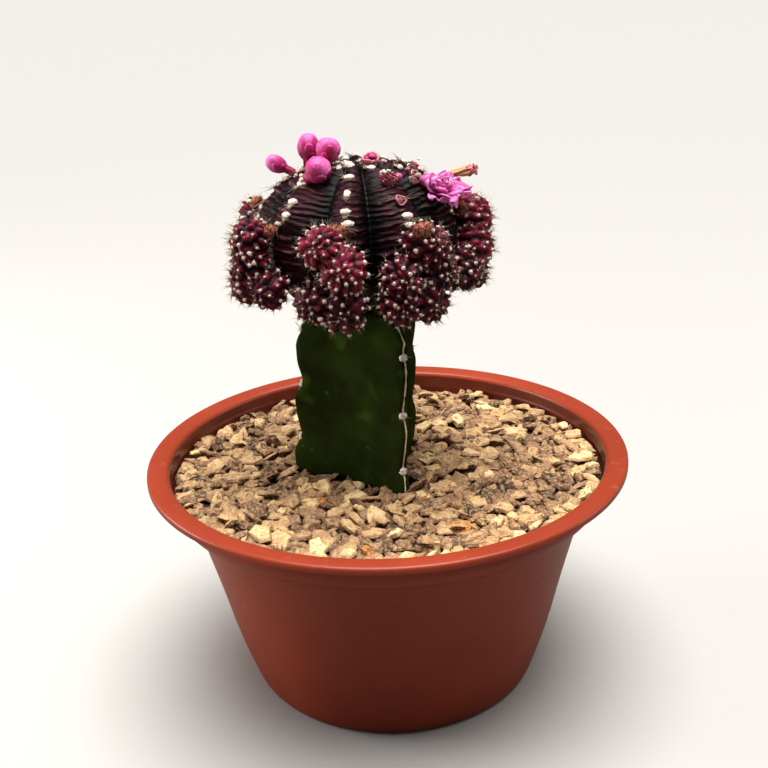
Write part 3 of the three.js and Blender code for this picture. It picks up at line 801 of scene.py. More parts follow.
def makeCorkLines(rings, c):
    turn = onceRound(c["sides"])
    edges = Heap()
    for rib, (wide, gaps) in enumerate(corkLines):
        tip = rings[3:-1, rib * wingStep]
        out = unit([*(tip[0, :2] - [stemAxis(tip[0, 2]), 0]), 0])
        side = np.array([-out[1], out[0], 0])
        driftScale, driftBy = c["drift"]
        breadthScale, breadthBy = c["breadth"]
        drift = np.array([noise.noise(Vector((rib * 9.0, 0, z * driftScale))) for z in tip[:, 2]]) * driftBy
        breadth = np.array([noise.noise(Vector((rib * 7.0, 4, z * breadthScale))) for z in tip[:, 2]])
        breadth = wide * np.clip(1 + breadth * breadthBy - gaps, c["narrowest"], c["widest"])
        line = tip + drift[:, None] * side
        loops = [
            p + np.outer(np.cos(turn) * w, side) + np.outer(np.sin(turn) * w * c["flat"] + c["lift"], out)
            for p, w in zip(line, breadth)
        ]
        skin, skinFaces = ringSkin(loops, line[0], line[-1])
        edges.add(skin + stemHome, skinFaces)
    place(edges.build("corky_wing_edges", [cork]), "corky_edge")


stemTuft = {
    "wide": 1.0, "tall": 0.8, "hairs": 30, "spines": 5, "spineLength": (1.4, 2.8), "spineRadius": 0.13,
}


def makeStemTufts(t):
    rng = np.random.default_rng(31)
    tufts = Heap()
    for turn, highest in stem["ribs"]:
        out = np.array([math.cos(math.radians(turn)), math.sin(math.radians(turn)), 0])
        side = np.array([-out[1], out[0], 0])
        z = highest
        while z > stem["ground"] + 0.5:
            root = stemHome + out * float(ribReach((turn, highest), z)) + [stemAxis(z), 0, z]
            addWool(tufts, rng, root - out * 0.1, out + [0, 0, 0.2], t["wide"], t["tall"], t["hairs"],
                    tones=(0.6, 1.0))
            for _ in range(t["spines"]):
                lean = side * rng.uniform(-1, 1) + out * rng.uniform(0.4, 1)
                lean = lean + [0, 0, rng.uniform(-0.7, 0.9)]
                addSpine(tufts, root, lean, rng.uniform(*t["spineLength"]), t["spineRadius"], slot=1)
            z -= stem["scallopPeriod"]
    place(tufts.build("rootstock_areoles", [wool, horn]), "areole_wool")


stemLevels, stemRings = stemSurface()
makeStemSkin(stemLevels, stemRings)
makeCorkLines(stemRings, corkLine)
makeStemTufts(stemTuft)
print("rootstock made")


# Gravel: chips dropped one by one on to a height map

gravel = {
    "reach": 53.8, "bed": 52.9, "top": 57.7, "chips": 1650, "cell": 0.5,
    "longHalf": (1.75, 4.6), "thickness": (0.38, 0.78), "tilt": 30, "seed": 5, "shapes": 28, "tries": 6,
    "creviceShade": (53.7, 55.3, 0.35),    # painted shade in the crevices: chips below the second height darken, down to this share at the first
    "hollow": {"at": (8.5, 9.0), "reach": 2.6, "deep": 4.2},
    "spots": 7,                   # places tried for each chip, of which the lowest is taken
    "breadth": (0.5, 0.95), "inner": 0.8, "rest": (70, 0.55, 0.5), "topPlay": (-0.9, 0.6),
    "sizeBeta": (1.6, 1.9), "toneBeta": (1.55, 1.25), "toneRange": (0.12, 0.83),
    "darkShare": 0.03, "orangeShare": 0.004,
}
# Levels of a chip: share of its outline, height, how far its corners stray from that, and shade
chipLevels = [(0.6, -1.0, 0.2, 0.05), (1.0, -0.2, 0.4, 0.35), (0.82, 0.7, 0.45, 1.0), (0.4, 1.0, 0.55, 1.0)]


# Flakes: jagged outlines with a broken rim and an uneven face, about one across
def chipShapes(rng, count):
    shapes = []
    for _ in range(count):
        corners = int(rng.integers(6, 10))
        turn = (np.arange(corners) + rng.uniform(-0.38, 0.38, corners)) * 2 * math.pi / corners
        reach = rng.uniform(0.58, 1.12, corners)
        rings = []
        for share, height, rough, _ in chipLevels:
            ring = reach * share * (1 + rng.uniform(-0.12, 0.12, corners))
            heights = height + rng.uniform(-rough, rough, corners)
            rings.append(np.stack([np.cos(turn) * ring, np.sin(turn) * ring, heights], -1))
        points, faces = ringSkin(rings, [0, 0, -1.0], [0, 0, 1.0 + rng.uniform(-0.3, 0.3)])
        shade = np.repeat([level[3] for level in chipLevels], corners)
        shapes.append((points, faces, np.concatenate([shade, [0.05, 1.0]])))
    return shapes


def turnMatrix(yaw, tilt, towards):
    return np.array(Euler((0, 0, towards)).to_matrix() @ Euler((tilt, 0, 0)).to_matrix()
                    @ Euler((0, 0, yaw)).to_matrix())


def insideLoop(points, loop):
    x, y = points[:, 0], points[:, 1]
    inside = np.zeros(len(points), bool)
    for (x0, y0), (x1, y1) in zip(loop, np.roll(loop, -1, 0)):
        crosses = (y0 > y) != (y1 > y)
        with np.errstate(divide="ignore", invalid="ignore"):
            inside ^= crosses & (x < (x1 - x0) * (y - y0) / (y1 - y0) + x0)
    return inside


stone = {
    "stops": [
        (0.0, (40, 25, 15)), (0.08, (74, 50, 33)), (0.2, (124, 90, 64)), (0.4, (174, 136, 96)),
        (0.62, (206, 170, 118)), (0.88, (248, 220, 166)), (0.985, (196, 164, 140)), (1.0, (178, 112, 40)),
    ],
    "worn": (158, 112, 80), "dusty": (246, 218, 164), "pits": (92, 66, 46),
}


def chipFinish(c):
    f = Finish("crushedStone", 0.88)
    worn = f.cover(f.ramp(f.tone(), c["stops"]), f.mottle(420.0, 0.4, 0.65), 0.36, c["worn"])
    dusty = f.cover(worn, f.mottle(1100.0, 0.48, 0.62), 0.28, c["dusty"])
    f.colour(f.cover(dusty, f.specks(1100.0, 0.3, 0.3), 0.5, c["pits"]))
    f.grain(480.0, 1900.0, 0.4, 0.7, 1.0)
    return f.material


def makeGravel(g):
    rng = np.random.default_rng(g["seed"])
    shapes = chipShapes(rng, g["shapes"])
    loop = stemSection(stem["ground"], 0.5) + [stem["x"] + stemAxis(stem["ground"]), stem["y"]]
    half = int(g["reach"] / g["cell"]) + 8
    grid = np.arange(-half, half + 1) * g["cell"]
    gridX, gridY = np.meshgrid(grid, grid, indexing="ij")
    level = np.full(gridX.shape, float(g["bed"]))
    heap = Heap()
    hollow = g["hollow"]
    shadeFrom, shadeTo, shadeLowest = g["creviceShade"]
    percent, below, above = g["rest"]    # how a chip rests on the heights under it, and what it adds

    def drop(longHalf):
        wide = longHalf * rng.uniform(*g["breadth"])
        thick = rng.uniform(*g["thickness"]) * (0.7 + longHalf * 0.14)
        spots = rng.uniform(-g["reach"], g["reach"], (g["spots"], 2))
        spots = spots[np.hypot(*spots.T) < g["reach"]]
        if len(spots):
            spots = spots[~insideLoop(spots, loop)]
        if not len(spots):
            return False
        cells = np.round(spots / g["cell"]).astype(int) + half
        spot = spots[np.argmin(level[cells[:, 0], cells[:, 1]])]
        tilt = math.radians(abs(rng.normal(0, g["tilt"])))
        turned = turnMatrix(rng.uniform(0, 6.3), tilt, rng.uniform(0, 6.3))
        points, faces, shade = shapes[rng.integers(len(shapes))]
        chip = (points * [longHalf, wide, thick]) @ turned.T
        reach = np.hypot(chip[:, 0] + spot[0], chip[:, 1] + spot[1]).max()
        if reach > g["reach"]:
            spot = spot * (1 - (reach - g["reach"]) / np.hypot(*spot))
        halfX, halfY = chip[:, :2].max(0)
        shareX = (gridX - spot[0]) / (halfX * g["inner"])
        shareY = (gridY - spot[1]) / (halfY * g["inner"])
        inner = shareX**2 + shareY**2 < 1
        if not inner.any():
            return False
        z = np.percentile(level[inner], percent) + thick * below
        sunk = hollow["deep"] * math.exp(-(math.dist(spot, hollow["at"]) / hollow["reach"]) ** 2)
        if z + chip[:, 2].max() > g["top"] - sunk + rng.uniform(*g["topPlay"]):
            return False
        level[inner] = np.maximum(level[inner], z + thick * above)
        if rng.random() > g["darkShare"]:
            tone = g["toneRange"][0] + g["toneRange"][1] * rng.beta(*g["toneBeta"])
        else:
            tone = rng.uniform(0, 0.05)
        # Painted shade: chips lying low, in the crevices, darken
        tone *= shadeLowest + (1 - shadeLowest) * min(max((z - shadeFrom) / (shadeTo - shadeFrom), 0), 1)
        if rng.random() < g["orangeShare"]:
            tone = 1.0
            shade = 1.0
        heap.add(chip + [spot[0], spot[1], z], faces, tone * shade, smooth=False)
        return True

    made = 0
    shortest, longest = g["longHalf"]
    for _ in range(g["chips"] * g["tries"]):
        if made >= g["chips"]:
            break
        made += drop(shortest + (longest - shortest) * rng.beta(*g["sizeBeta"]))
    print("chips dropped:", made, "mean level", round(float(level[np.hypot(gridX, gridY) < 50].mean()), 2))
    piece = heap.build("fine_gravel", [chipFinish(stone)])
    place(piece, "stone_chips", ["gravel_top_dressing"])


# Dark grit seen in the gaps between chips: a disc that fills the pot's mouth, closed below
fines = {
    "top": 53.4, "rim": (53.9, 53.6), "rings": (53, 4, 40), "sides": 160, "lift": 0.6, "liftScale": 0.9,
    "under": [(0, 47.6), (48.0, 47.6), (48.4, 50.8), (52.0, 52.2), (53.8, 53.8)],
}


def makeFines(b):
    outline = [*b["under"], b["rim"]]
    outline += [(radius, b["top"]) for radius in np.linspace(*b["rings"])]
    points, faces = turnedSkin(np.array([*outline, (0, b["top"])]), b["sides"])
    points[:, 2] += np.where(points[:, 2] == b["top"], smoothNoise(points, b["liftScale"]) * b["lift"], 0)
    bed = Heap()
    bed.add(points, faces)
    grit = patchFinish("darkGrit", 0.95, (22, 16, 11), (60, 46, 32), (500.0, 0.35, 0.7),
                       (500.0, 2000.0, 0.5, 0.8, 1.0))
    place(bed.build("gravel_fines", [grit]), "stone_chips")


makeGravel(gravel)
makeFines(fines)


def soilFinish(dark, brown, flecks):
    f = Finish("pottingMix", 0.97)
    base = f.mix(f.mottle(300.0, 0.35, 0.7), linear(*dark), linear(*brown))
    f.colour(f.cover(base, f.specks(500.0, 0.3, 0.08), 0.7, flecks))
    f.grain(350.0, 1600.0, 0.5, 1.0, 1.0)
    return f.material


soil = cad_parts["potting_soil"]
soil.data.materials.clear()
soil.data.materials.append(soilFinish((30, 21, 15), (64, 46, 32), (196, 190, 176)))
print("gravel and soil made")


# Scion

scion = {
    "middle": (-4, 1, 114), "radius": 23.5, "halfHeight": 19,
    "crests": [-8, 30, 71, 112, 148, 184, 216, 244, 268, 303],     # each rib's azimuth from the front
    "grooves": [7, 50, 91, 130, 166, 200, 231, 256, 285, 337],     # the groove after each rib
    "fullSide": {"azimuth": -92, "polar": 56, "rise": 1.3, "across": 34, "down": 24},
    "groove": 3.4, "crease": 0.9, "band": 0.5, "bandStep": 4.4, "firstBand": 98, "bandBend": 2.6,
    "crownDip": 1.4, "crownReach": 11, "flatFoot": -16.7, "chin": 0.75, "chinSize": (2.6, 1.9),
    "polars": (152, 2.5), "rows": 260, "columnsPerRib": 32,
    "noise": (0.22, 0.7, (0.3, 0.3, 1.9)),    # scales of the wobble, the raggedness and the wrinkles
    "bandBent": (2.4, 0.9),                   # degrees by which wobble and wrinkles bend the bands
    "seenFrom": (9, 8), "seenTo": (112, 10),  # degrees from the crown where bands start and stop
    "warmCrest": (0.14, 0.35), "baseTone": 0.16,
}
headAt = np.array(scion["middle"], float)
ribCount = len(scion["crests"])
ribStops = np.arange(-ribCount, 2 * ribCount, 0.5)
ribTurns = np.stack([scion["crests"], scion["grooves"]], -1).ravel()
ribTurns = np.concatenate([ribTurns + lap * 360 for lap in (-1, 0, 1)])

# Areoles as rib and degrees from the crown. Rib 2 is a crest and 2.5 the groove after it
frontAreoles = [
    (-0.05, 30), (0, 44.5), (0, 57), (0.05, 65), (-0.2, 16), (-1, 40), (-0.9, 53), (-0.9, 62.5),
    (-0.95, 68.5), (-2, 42.5), (-2, 47.5), (-2, 59.5), (-2, 66), (-2, 72.5), (0.8, 20.5), (1, 63), (1, 69),
    (1.86, 26), (1.95, 38), (2.44, 69), (-3.85, 18.5), (-0.7, 18.5), (-0.7, 11), (-5, 14.5), (-3.75, 10.5),
]
crownTufts = [
    (-1.2, 8), (-2.6, 12), (-2.2, 19), (-3.2, 20), (-1.4, 14), (2.2, 14), (3.4, 12), (4.6, 6), (0.9, 9),
]
pinkAreoles = [(-2, 32.5), (-2, 36.5), (2.91, 34.5), (2.91, 39.5), (2.83, 46.5)]
backAreoles = [(rib, polar) for rib in (3, 4, 5, 6, 7) for polar in (28, 40.5, 52.5, 63)]
areole = {
    "wide": 0.78, "stretch": 1.65, "tall": 0.6, "hairs": 22, "tailHairs": 12,
    "spines": 7, "spineLength": (1.8, 3.4), "spineRadius": 0.09, "firstSpine": -200, "spineStep": 36,
}
longSpined = {-2: 1.9, 1: 1.3}    # ribs whose spines are longer, and by how much
crownTuft = {
    "clumps": 5, "spread": (1.1, 1.1, 0.22), "lean": 0.6, "wide": (0.2, 0.45), "tall": (0.2, 0.7),
    "hairs": 9, "stretch": (1, 2.4), "ragged": 0.42, "spineLength": (1.0, 1.9), "spineRadius": 0.07,
}


def ribAzimuth(turns):
    return np.interp(turns, ribStops, ribTurns)


def scionPoint(turns, polar, relief=0.0):
    turns, polar = np.broadcast_arrays(np.asarray(turns, float), np.asarray(polar, float))
    full = scion["fullSide"]
    azimuth = ribAzimuth(turns)
    away = np.abs(turns - np.round(turns)) * 2
    widen = np.sin(np.radians(np.minimum(polar, 90)))
    fold = 0.6 * away**1.25 + 0.4 * (0.5 - 0.5 * np.cos(math.pi * away))
    across = ((azimuth - full["azimuth"] + 180) % 360 - 180) / full["across"]
    down = (polar - full["polar"]) / full["down"]
    fullness = full["rise"] * np.exp(-across**2 - down**2)
    shrink = 1 - (scion["groove"] * fold * widen**0.8 - relief - fullness) / scion["radius"]
    angle = np.radians(azimuth - 90)
    dip = scion["crownDip"] * np.exp(-(polar / scion["crownReach"]) ** 2)
    flat = np.sin(np.radians(polar)) * scion["radius"] * shrink
    up = np.cos(np.radians(polar)) * scion["halfHeight"] * (1 + shrink) / 2 - dip
    return np.stack([np.cos(angle) * flat, np.sin(angle) * flat, up], -1)


def scionOut(turns, polar):
    p = scionPoint(turns, polar)
    return unit(p / np.array([scion["radius"] ** 2, scion["radius"] ** 2, scion["halfHeight"] ** 2]))


darkSkin = {
    "stops": [(0.0, (6, 2, 3)), (0.3, (26, 8, 14)), (0.6, (62, 23, 33)), (1.0, (122, 82, 84))],
    # the crease colour is painted shade, near black deep in the grooves
    "warm": (66, 17, 32), "flecks": (108, 80, 78), "crease": (4, 1, 2),
    "specular": 0.09, "roughness": (0.44, 0.62),
}


def scionFinish(c):
    f = Finish("darkBandedSkin", 0.5, Specular_IOR_Level=c["specular"])
    fine = f.mottle(900.0, 0.45, 0.75)
    warm = f.cover(f.ramp(f.tone(), c["stops"]), f.mottle(110.0, 0.4, 0.7), 0.4, c["warm"])
    flecked = f.cover(warm, fine, 0.1, c["flecks"])
    # Painted shade: the lowest tones, deep in the grooves, turn near black
    deep = f.ramp(f.tone(), [(0.0, (255, 255, 255)), (0.14, (0, 0, 0))])
    f.colour(f.mix(deep, flecked, linear(*c["crease"])))
    f.roughness(f.rangeOf(fine, *c["roughness"]))
    f.grain(500.0, 2600.0, 0.4, 0.25, 0.6)
    return f.material


def makeScionSkin(s):
    polars = np.linspace(*s["polars"], s["rows"])
    turns, polar = np.meshgrid(np.arange(ribCount * s["columnsPerRib"]) / s["columnsPerRib"], polars)
    away = np.abs(turns - np.round(turns)) * 2
    base = scionPoint(turns, polar)
    wobbleScale, raggedScale, wrinkleScale = s["noise"]
    wobble = smoothNoise(base, wobbleScale).reshape(polar.shape)
    ragged = smoothNoise(base, raggedScale).reshape(polar.shape)
    wrinkle = smoothNoise(base * wrinkleScale, 1).reshape(polar.shape)
    phase = s["firstBand"] - s["bandStep"] - polar + s["bandBend"] * away**2
    phase = (phase + wobble * s["bandBent"][0] + wrinkle * s["bandBent"][1]) / s["bandStep"]
    wave = 0.5 + 0.5 * np.cos(2 * math.pi * phase)
    heavy = 0.7 + 0.3 * np.cos(math.pi * np.round(phase))
    patchy = np.clip(0.6 + 1.6 * ragged + 0.9 * wobble, 0.1, 1.25)
    seen = np.clip((polar - s["seenFrom"][0]) / s["seenFrom"][1], 0, 1)
    seen = seen * np.clip((s["seenTo"][0] - polar) / s["seenTo"][1], 0, 1)
    relief = s["band"] * (wave**1.4 * heavy - 0.45 + 0.5 * wrinkle) * seen * (0.8 + 0.5 * patchy)
    relief *= 1 - 0.9 * away**8    # the bands fade where they meet in the groove
    relief -= s["crease"] * away**5 * seen
    # The band ridges are painted lighter: painted highlight
    ridgeHighlight = (0.3 * wave + 0.5 * wave**6) * heavy * patchy
    warmCrest = s["warmCrest"][0] * np.exp(-(away / s["warmCrest"][1]) ** 2)
    lit = seen * (ridgeHighlight * (1 - 0.7 * away**3) + warmCrest + 0.22 * wrinkle)
    # Painted shade: the tone falls to near black deep in the grooves
    tone = np.clip(s["baseTone"] + lit - 0.95 * away**5 + 0.1 * wobble, 0, 1)
    for rib, at in frontAreoles + backAreoles:
        across = np.radians(ribAzimuth(turns) - ribAzimuth(rib) + 180) % (2 * math.pi) - math.pi
        across = across * s["radius"] * np.sin(np.radians(polar))
        along = np.radians(polar - at - 2.0) * s["radius"] * 0.92
        relief += s["chin"] * np.exp(-(across / s["chinSize"][0]) ** 2 - (along / s["chinSize"][1]) ** 2)
    rings = scionPoint(turns, polar, relief)
    rings[..., 2] = np.maximum(rings[..., 2], s["flatFoot"])
    points, faces = ringSkin(rings, [0, 0, s["flatFoot"]], [0, 0, rings[-1, :, 2].mean() - 0.1])
    heap = Heap()
    heap.add(points + headAt, faces, np.concatenate([tone.ravel(), [0, 0.2]]))
    place(heap.build("fine_scion", [scionFinish(darkSkin)]), "dark_scion", ["scion"])


# White half-moon of wool over a brown tail, with thin spines pressed sideways and down
def addAreole(heap, rng, root, out, grow, reach, slot=0):
    side, up = sidesOf(out)
    a = areole
    wide = a["wide"] * grow
    addWool(heap, rng, root + up * 0.25, out + up * 0.3, wide, a["tall"] * grow, a["hairs"], slot,
            (6, 16), a["stretch"])
    tail = root - up * wide * 1.15
    addWool(heap, rng, tail, out, wide * 0.85, a["tall"] * 0.5, a["tailHairs"], 0, (4, 9), tones=(0.0, 0.08))
    for k in range(a["spines"]):
        angle = math.radians(a["firstSpine"] + a["spineStep"] * k + rng.uniform(-14, 14))
        way = math.cos(angle) * side + math.sin(angle) * up * 0.8 + out * rng.uniform(0.15, 0.7)
        sag = side * rng.uniform(-0.2, 0.2) - out * 0.15 - up * 0.1
        length = rng.uniform(*a["spineLength"]) * grow * reach
        addSpine(heap, tail + out * 0.1, way, length, a["spineRadius"], sag, 6, 4, 1)


def makeScionAreoles(s, c):
    rng = np.random.default_rng(73)
    tufts = Heap()
    for slot, sites in enumerate([frontAreoles + backAreoles, pinkAreoles]):
        for rib, at in sites:
            root = headAt + scionPoint(rib, at, s["chin"] * 0.75)
            grow = rng.uniform(0.88, 1.1) * (0.8 if slot else 1.0)
            addAreole(tufts, rng, root, scionOut(rib, at), grow, longSpined.get(rib, 1), slot * 2)
    for rib, at in crownTufts:
        root = headAt + scionPoint(rib, at)
        out = scionOut(rib, at)
        for _ in range(c["clumps"]):
            at = root + rng.uniform(-1, 1, 3) * c["spread"]
            way = out + rng.standard_normal(3) * c["lean"]
            addWool(tufts, rng, at, way, rng.uniform(*c["wide"]), rng.uniform(*c["tall"]), c["hairs"], 0,
                    (5, 9), rng.uniform(*c["stretch"]), (0.0, 0.9), c["ragged"])
            way = out + rng.standard_normal(3) * c["lean"]
            addSpine(tufts, at, way, rng.uniform(*c["spineLength"]), c["spineRadius"], slot=1)
    place(tufts.build("scion_areoles", [wool, horn, pinkWool]), "areole_wool")


makeScionSkin(scion)
makeScionAreoles(scion, crownTuft)
print("scion made")


# Offsets. Each pup is turn from its cluster, reach from the axis, height over the middle, radius

hangingPups = [(-6, 26.3, 3.8, 4.8), (5, 27, -0.8, 5), (-8, 26, -6, 4.6), (5, 25.2, -9.6, 5.3)]
clusters = [
    (-61, [(-1, 27.3, 3.5, 4.8), (-1, 27.9, -0.9, 4.7), (6, 25.6, -7.2, 4.7), (-5, 28.4, -6.2, 4.8)]),
    (-14, [(-4, 26.3, 4, 4.7), (6, 27, -0.8, 5), (-8, 26, -7.9, 4.9), (5, 25.6, -9.3, 5.2)]),
    (30, [(5, 25.6, 2.7, 5.1), (-10, 26, -3.6, 4.6), (11, 25.3, -3.8, 4.8), (-11, 25.2, -9.4, 4.6),
          (4, 25, -9.8, 5)]),
    (77, [(10, 26.2, 4.4, 5), (2, 26.8, -1.4, 5), (-11, 25.2, -5.6, 4.8), (3, 25.6, -7.4, 4.7)]),
    (124, hangingPups), (168, hangingPups), (212, hangingPups), (256, hangingPups),
]
offsets = {
    "rows": 54, "columns": 92, "leans": (174, 3),
    "tubercles": 54, "cap": 132, "crowding": 0.78, "relief": 0.36, "reach": 0.74, "long": (1.15, 1.8),
    "slim": 0.84, "sizes": (0.78, 1.2), "turnJitter": 0.16, "leanJitter": 0.12, "bareShare": 0.1,
    "woolWide": 0.45, "woolTall": 0.38, "woolSizes": (0.5, 1.25), "spines": 4, "spineLength": (1.0, 2.4),
    "lumps": (0.05, 0.04, 0.03),    # uneven swelling of the globe, as shares of its radius
    "dome": 1.3, "sunk": 0.6, "meanGap": 0.53, "foot": 0.86,
    # glow: painted light, pups higher on the head lighter, and also varied at random
    "turnOut": 1.5, "leanUp": (0.15, 0.03), "glow": (0.9, 0.02), "glowJitter": (0.82, 1.15), "seed": 411,
}
# Rusty bristles that each bunch grew from: turn from its cluster, reach from the axis, height
knobs = [(7, 24.8, 5.6), (2.5, 23.3, 6.8), (-1, 28, 6.8), (1, 24, 6.8)] + [(0, 25, 8)] * 4
knob = {
    "lumps": [(-0.9, 1.35), (0.2, 1.6), (1.2, 1.2)],    # shift along the knob and width of each
    "ragged": 0.22, "bristles": 60, "spread": 0.8, "lean": 0.4, "length": (0.7, 1.5), "radius": 0.17,
}


def around(azimuth, radius, height):
    angle = math.radians(azimuth - 90)
    return np.array([math.cos(angle) * radius, math.sin(angle) * radius, height])


maroon = {
    "stops": [
        (0.12, (6, 2, 4)), (0.34, (34, 6, 16)), (0.55, (96, 17, 40)), (0.8, (142, 31, 60)),
        (1.0, (188, 78, 98)),
    ],
    "patches": (48, 8, 28), "specular": 0.14, "roughness": (0.4, 0.58),
}


def pupFinish(c):
    f = Finish("maroonTubercles", 0.5, Specular_IOR_Level=c["specular"])
    f.colour(f.cover(f.ramp(f.tone(), c["stops"]), f.mottle(260.0, 0.35, 0.7), 0.45, c["patches"]))
    f.roughness(f.rangeOf(f.mottle(1200.0, 0.45, 0.75), *c["roughness"]))
    f.grain(700.0, 2600.0, 0.4, 0.2, 0.6)
    return f.material


# Places of the tubercles on a globe of radius one: an even spiral from its tip, a little disturbed
def tubercleTips(rng, o):
    count = o["tubercles"]
    share = (np.arange(count) + 0.5) / count
    cap = math.radians(o["cap"])
    even = cap * share ** o["crowding"]
    step = cap * o["crowding"] * share ** (o["crowding"] - 1) / count
    spacing = np.sqrt(2 * math.pi * np.sin(even) * step)
    phi = np.arange(count) * math.pi * (3 - math.sqrt(5)) + rng.uniform(0, fullTurn)
    phi += rng.normal(0, o["turnJitter"], count) * spacing / np.sin(even)
    theta = np.clip(even + rng.normal(0, o["leanJitter"], count) * spacing, 0.05, None)
    return phi, theta, even, spacing


# Globe of tubercles, each with its areole
def addPup(skin, tufts, rng, middle, out, radius, o, solids, glow):
    side, up = sidesOf(out)
    phi, theta, even, spacing = tubercleTips(rng, o)
    tips = onBall(phi, theta)
    down = np.stack([np.cos(phi) * np.cos(theta), np.sin(phi) * np.cos(theta), -np.sin(theta)], -1)
    across = np.cross(tips, down)
    size = spacing * rng.uniform(*o["sizes"], len(tips))
    long = rng.uniform(*o["long"])
    bend = rng.uniform(0, fullTurn, 3)
    leans = np.radians(np.linspace(*o["leans"], o["rows"]))
    lean, turn = np.meshgrid(leans, onceRound(o["columns"]), indexing="ij")
    ways = onBall(turn, lean)
    gap = ways.reshape(-1, 1, 3) - tips
    apart = np.hypot((gap * down).sum(-1) / long, (gap * across).sum(-1) / o["slim"])
    apart = np.hypot(apart, (gap * tips).sum(-1)) / (o["reach"] * size)
    high = np.clip(1 - apart ** o["dome"], 0, 1).max(-1).reshape(lean.shape)
    twofold, along, threefold = o["lumps"]
    swell = twofold * np.sin(2 * turn + bend[0]) * np.sin(lean) + along * np.sin(3 * lean + bend[1])
    swell += threefold * np.sin(3 * turn + bend[2]) * np.sin(lean)
    steep = np.interp(lean, even, spacing / o["meanGap"])
    reach = radius * (1 + o["relief"] * (high * steep - o["sunk"]) + swell)
    axes = np.stack([side, up, out])
    rings = middle + (ways * reach[..., None]) @ axes
    points, faces = ringSkin(rings, middle - out * radius * o["foot"], middle + out * reach[-1].mean())
    # Tone: tubercle tops painted lighter and crevices near black (painted highlight and shade), scaled by
    # the pup's glow
    skin.add(points, faces, np.concatenate([(high * glow).ravel(), [0.2 * glow, 0.4 * glow]]))
    for tip, near in zip(tips, spacing):
        way = tip @ axes
        nearest = np.argmax(ways.reshape(-1, 3) @ tip)
        root = middle + way * reach.ravel()[nearest]
        if rng.random() < o["bareShare"] or isBuried(root, middle, solids):
            continue
        grow = rng.uniform(*o["woolSizes"]) * min(near / 0.46, 1.1)
        addWool(tufts, rng, root, way, o["woolWide"] * grow, o["woolTall"] * grow, 4, 0, (3, 8),
                tones=(0.1, rng.uniform(0.4, 1)), ragged=0.25)
        for _ in range(o["spines"]):
            lean = unit(way + rng.standard_normal(3) * 0.7)
            if lean @ way > 0.1:
                addNeedle(tufts, root, lean, rng.uniform(*o["spineLength"]), 0.075, 1)


# Whether a point of one pup lies in another pup of its bunch, or in the scion
def isBuried(point, middle, solids):
    if any(np.linalg.norm(point - c) < r for c, r in solids if np.linalg.norm(c - middle) > 0.1):
        return True
    return np.linalg.norm((point - headAt) / [scion["radius"], scion["radius"], scion["halfHeight"]]) < 0.97


def addKnob(tufts, rng, middle, out, k):
    side, _ = sidesOf(out)
    for shift, wide in k["lumps"]:
        at = middle + side * shift
        addWool(tufts, rng, at, out, wide, wide * 0.8, 0, 2, (8, 16), tones=(0.0, 0.6), ragged=k["ragged"])
        for _ in range(k["bristles"]):
            way = unit(out + rng.standard_normal(3) * k["spread"])
            if way @ out > -0.2:
                lean = way + rng.standard_normal(3) * k["lean"]
                addNeedle(tufts, at + way * wide * 0.7, lean, rng.uniform(*k["length"]), k["radius"], 2)


def makeOffsets(o):
    finishes = [pupFinish(maroon)]
    bristle = rootToTipFinish("rustyBristle", 0.85, ((84, 26, 18), (168, 80, 54), (226, 168, 132)), 0.45,
                              (1000.0, 0.46, 0.58), 0.85, (70, 20, 18), (1000.0, 3000.0, 0.4, 0.8, 1.0))
    for n, (azimuth, pups) in enumerate(clusters):
        rng = np.random.default_rng(o["seed"] + n)
        skin, tufts = Heap(), Heap()
        solids = [(headAt + around(azimuth + turn, reach, height), radius)
                  for turn, reach, height, radius in pups]
        for k, (turn, reach, height, radius) in enumerate(pups):
            out = unit(around(azimuth + turn * o["turnOut"], 1, o["leanUp"][0] + height * o["leanUp"][1]))
            # glow: painted light that grows with the pup's height, with a random spread
            glow = (o["glow"][0] + height * o["glow"][1]) * rng.uniform(*o["glowJitter"])
            addPup(skin, tufts, rng, solids[k][0], out, radius, o, solids, glow)
        turn, reach, height = knobs[n]
        knobAt = headAt + around(azimuth + turn, reach, height)
        addKnob(tufts, rng, knobAt, unit(around(azimuth, 1, 0.7)), knob)
        node = f"offset_cluster_{n + 1}"
        place(skin.build(f"fine_{node}", finishes), "maroon_offsets", [node])
        place(tufts.build(f"areoles_{node}", [wool, horn, bristle]), "areole_wool")


makeOffsets(offsets)
print("offsets made")


# Buds and flowers, on the same crests and leans as in the frame: rib, degrees from the crown,
# lean, radius, length, stalk, and the share of its length that is the round head

blooms = {
    "flower_bud_1": (-2, 36, (-0.88, 0, 0.5), 1.9, 7.9, 0.9, 0.64),
    "flower_bud_2": (-2, 28.5, (0.05, -0.05, 1), 2.5, 8.2, 1.2, 0.76),
    "flower_bud_3": (-1, 21, (0.15, 0.1, 0.95), 2.75, 6.8, 1.3, 0.8),
    "flower_bud_4": (-1, 36, (0.7, -0.35, 0.62), 2.9, 7.2, 1.5, 0.8),
    "flower_bud_5": (2, 46, (-0.15, -0.7, 0.5), 1.5, 3.6, 0.9, 0.85),
    "young_bud_1": (1, 14.5, (0, -0.2, 1), 1.9, 2.4, 1.2, 0.85),
    "young_bud_2": (1, 36, (0.15, -0.6, 0.8), 1.8, 2.4, 1.1, 0.85),
    "young_bud_3": (2, 34, (0.1, -0.3, 0.9), 1.6, 2.6, 1.1, 0.85),
    "spent_flower": (3, 50, (0.97, -0.1, 0.17), 1.8, 11.8, 1.1, 0.8),
    "flower": (2, 56, (0.4, -0.32, 0.86), 1.9, 3.0, 1.3, 0.8),
}


petalGlow = {"weight": 0.25, "radius": (0.0015, 0.0006, 0.0008), "scale": 1.0}


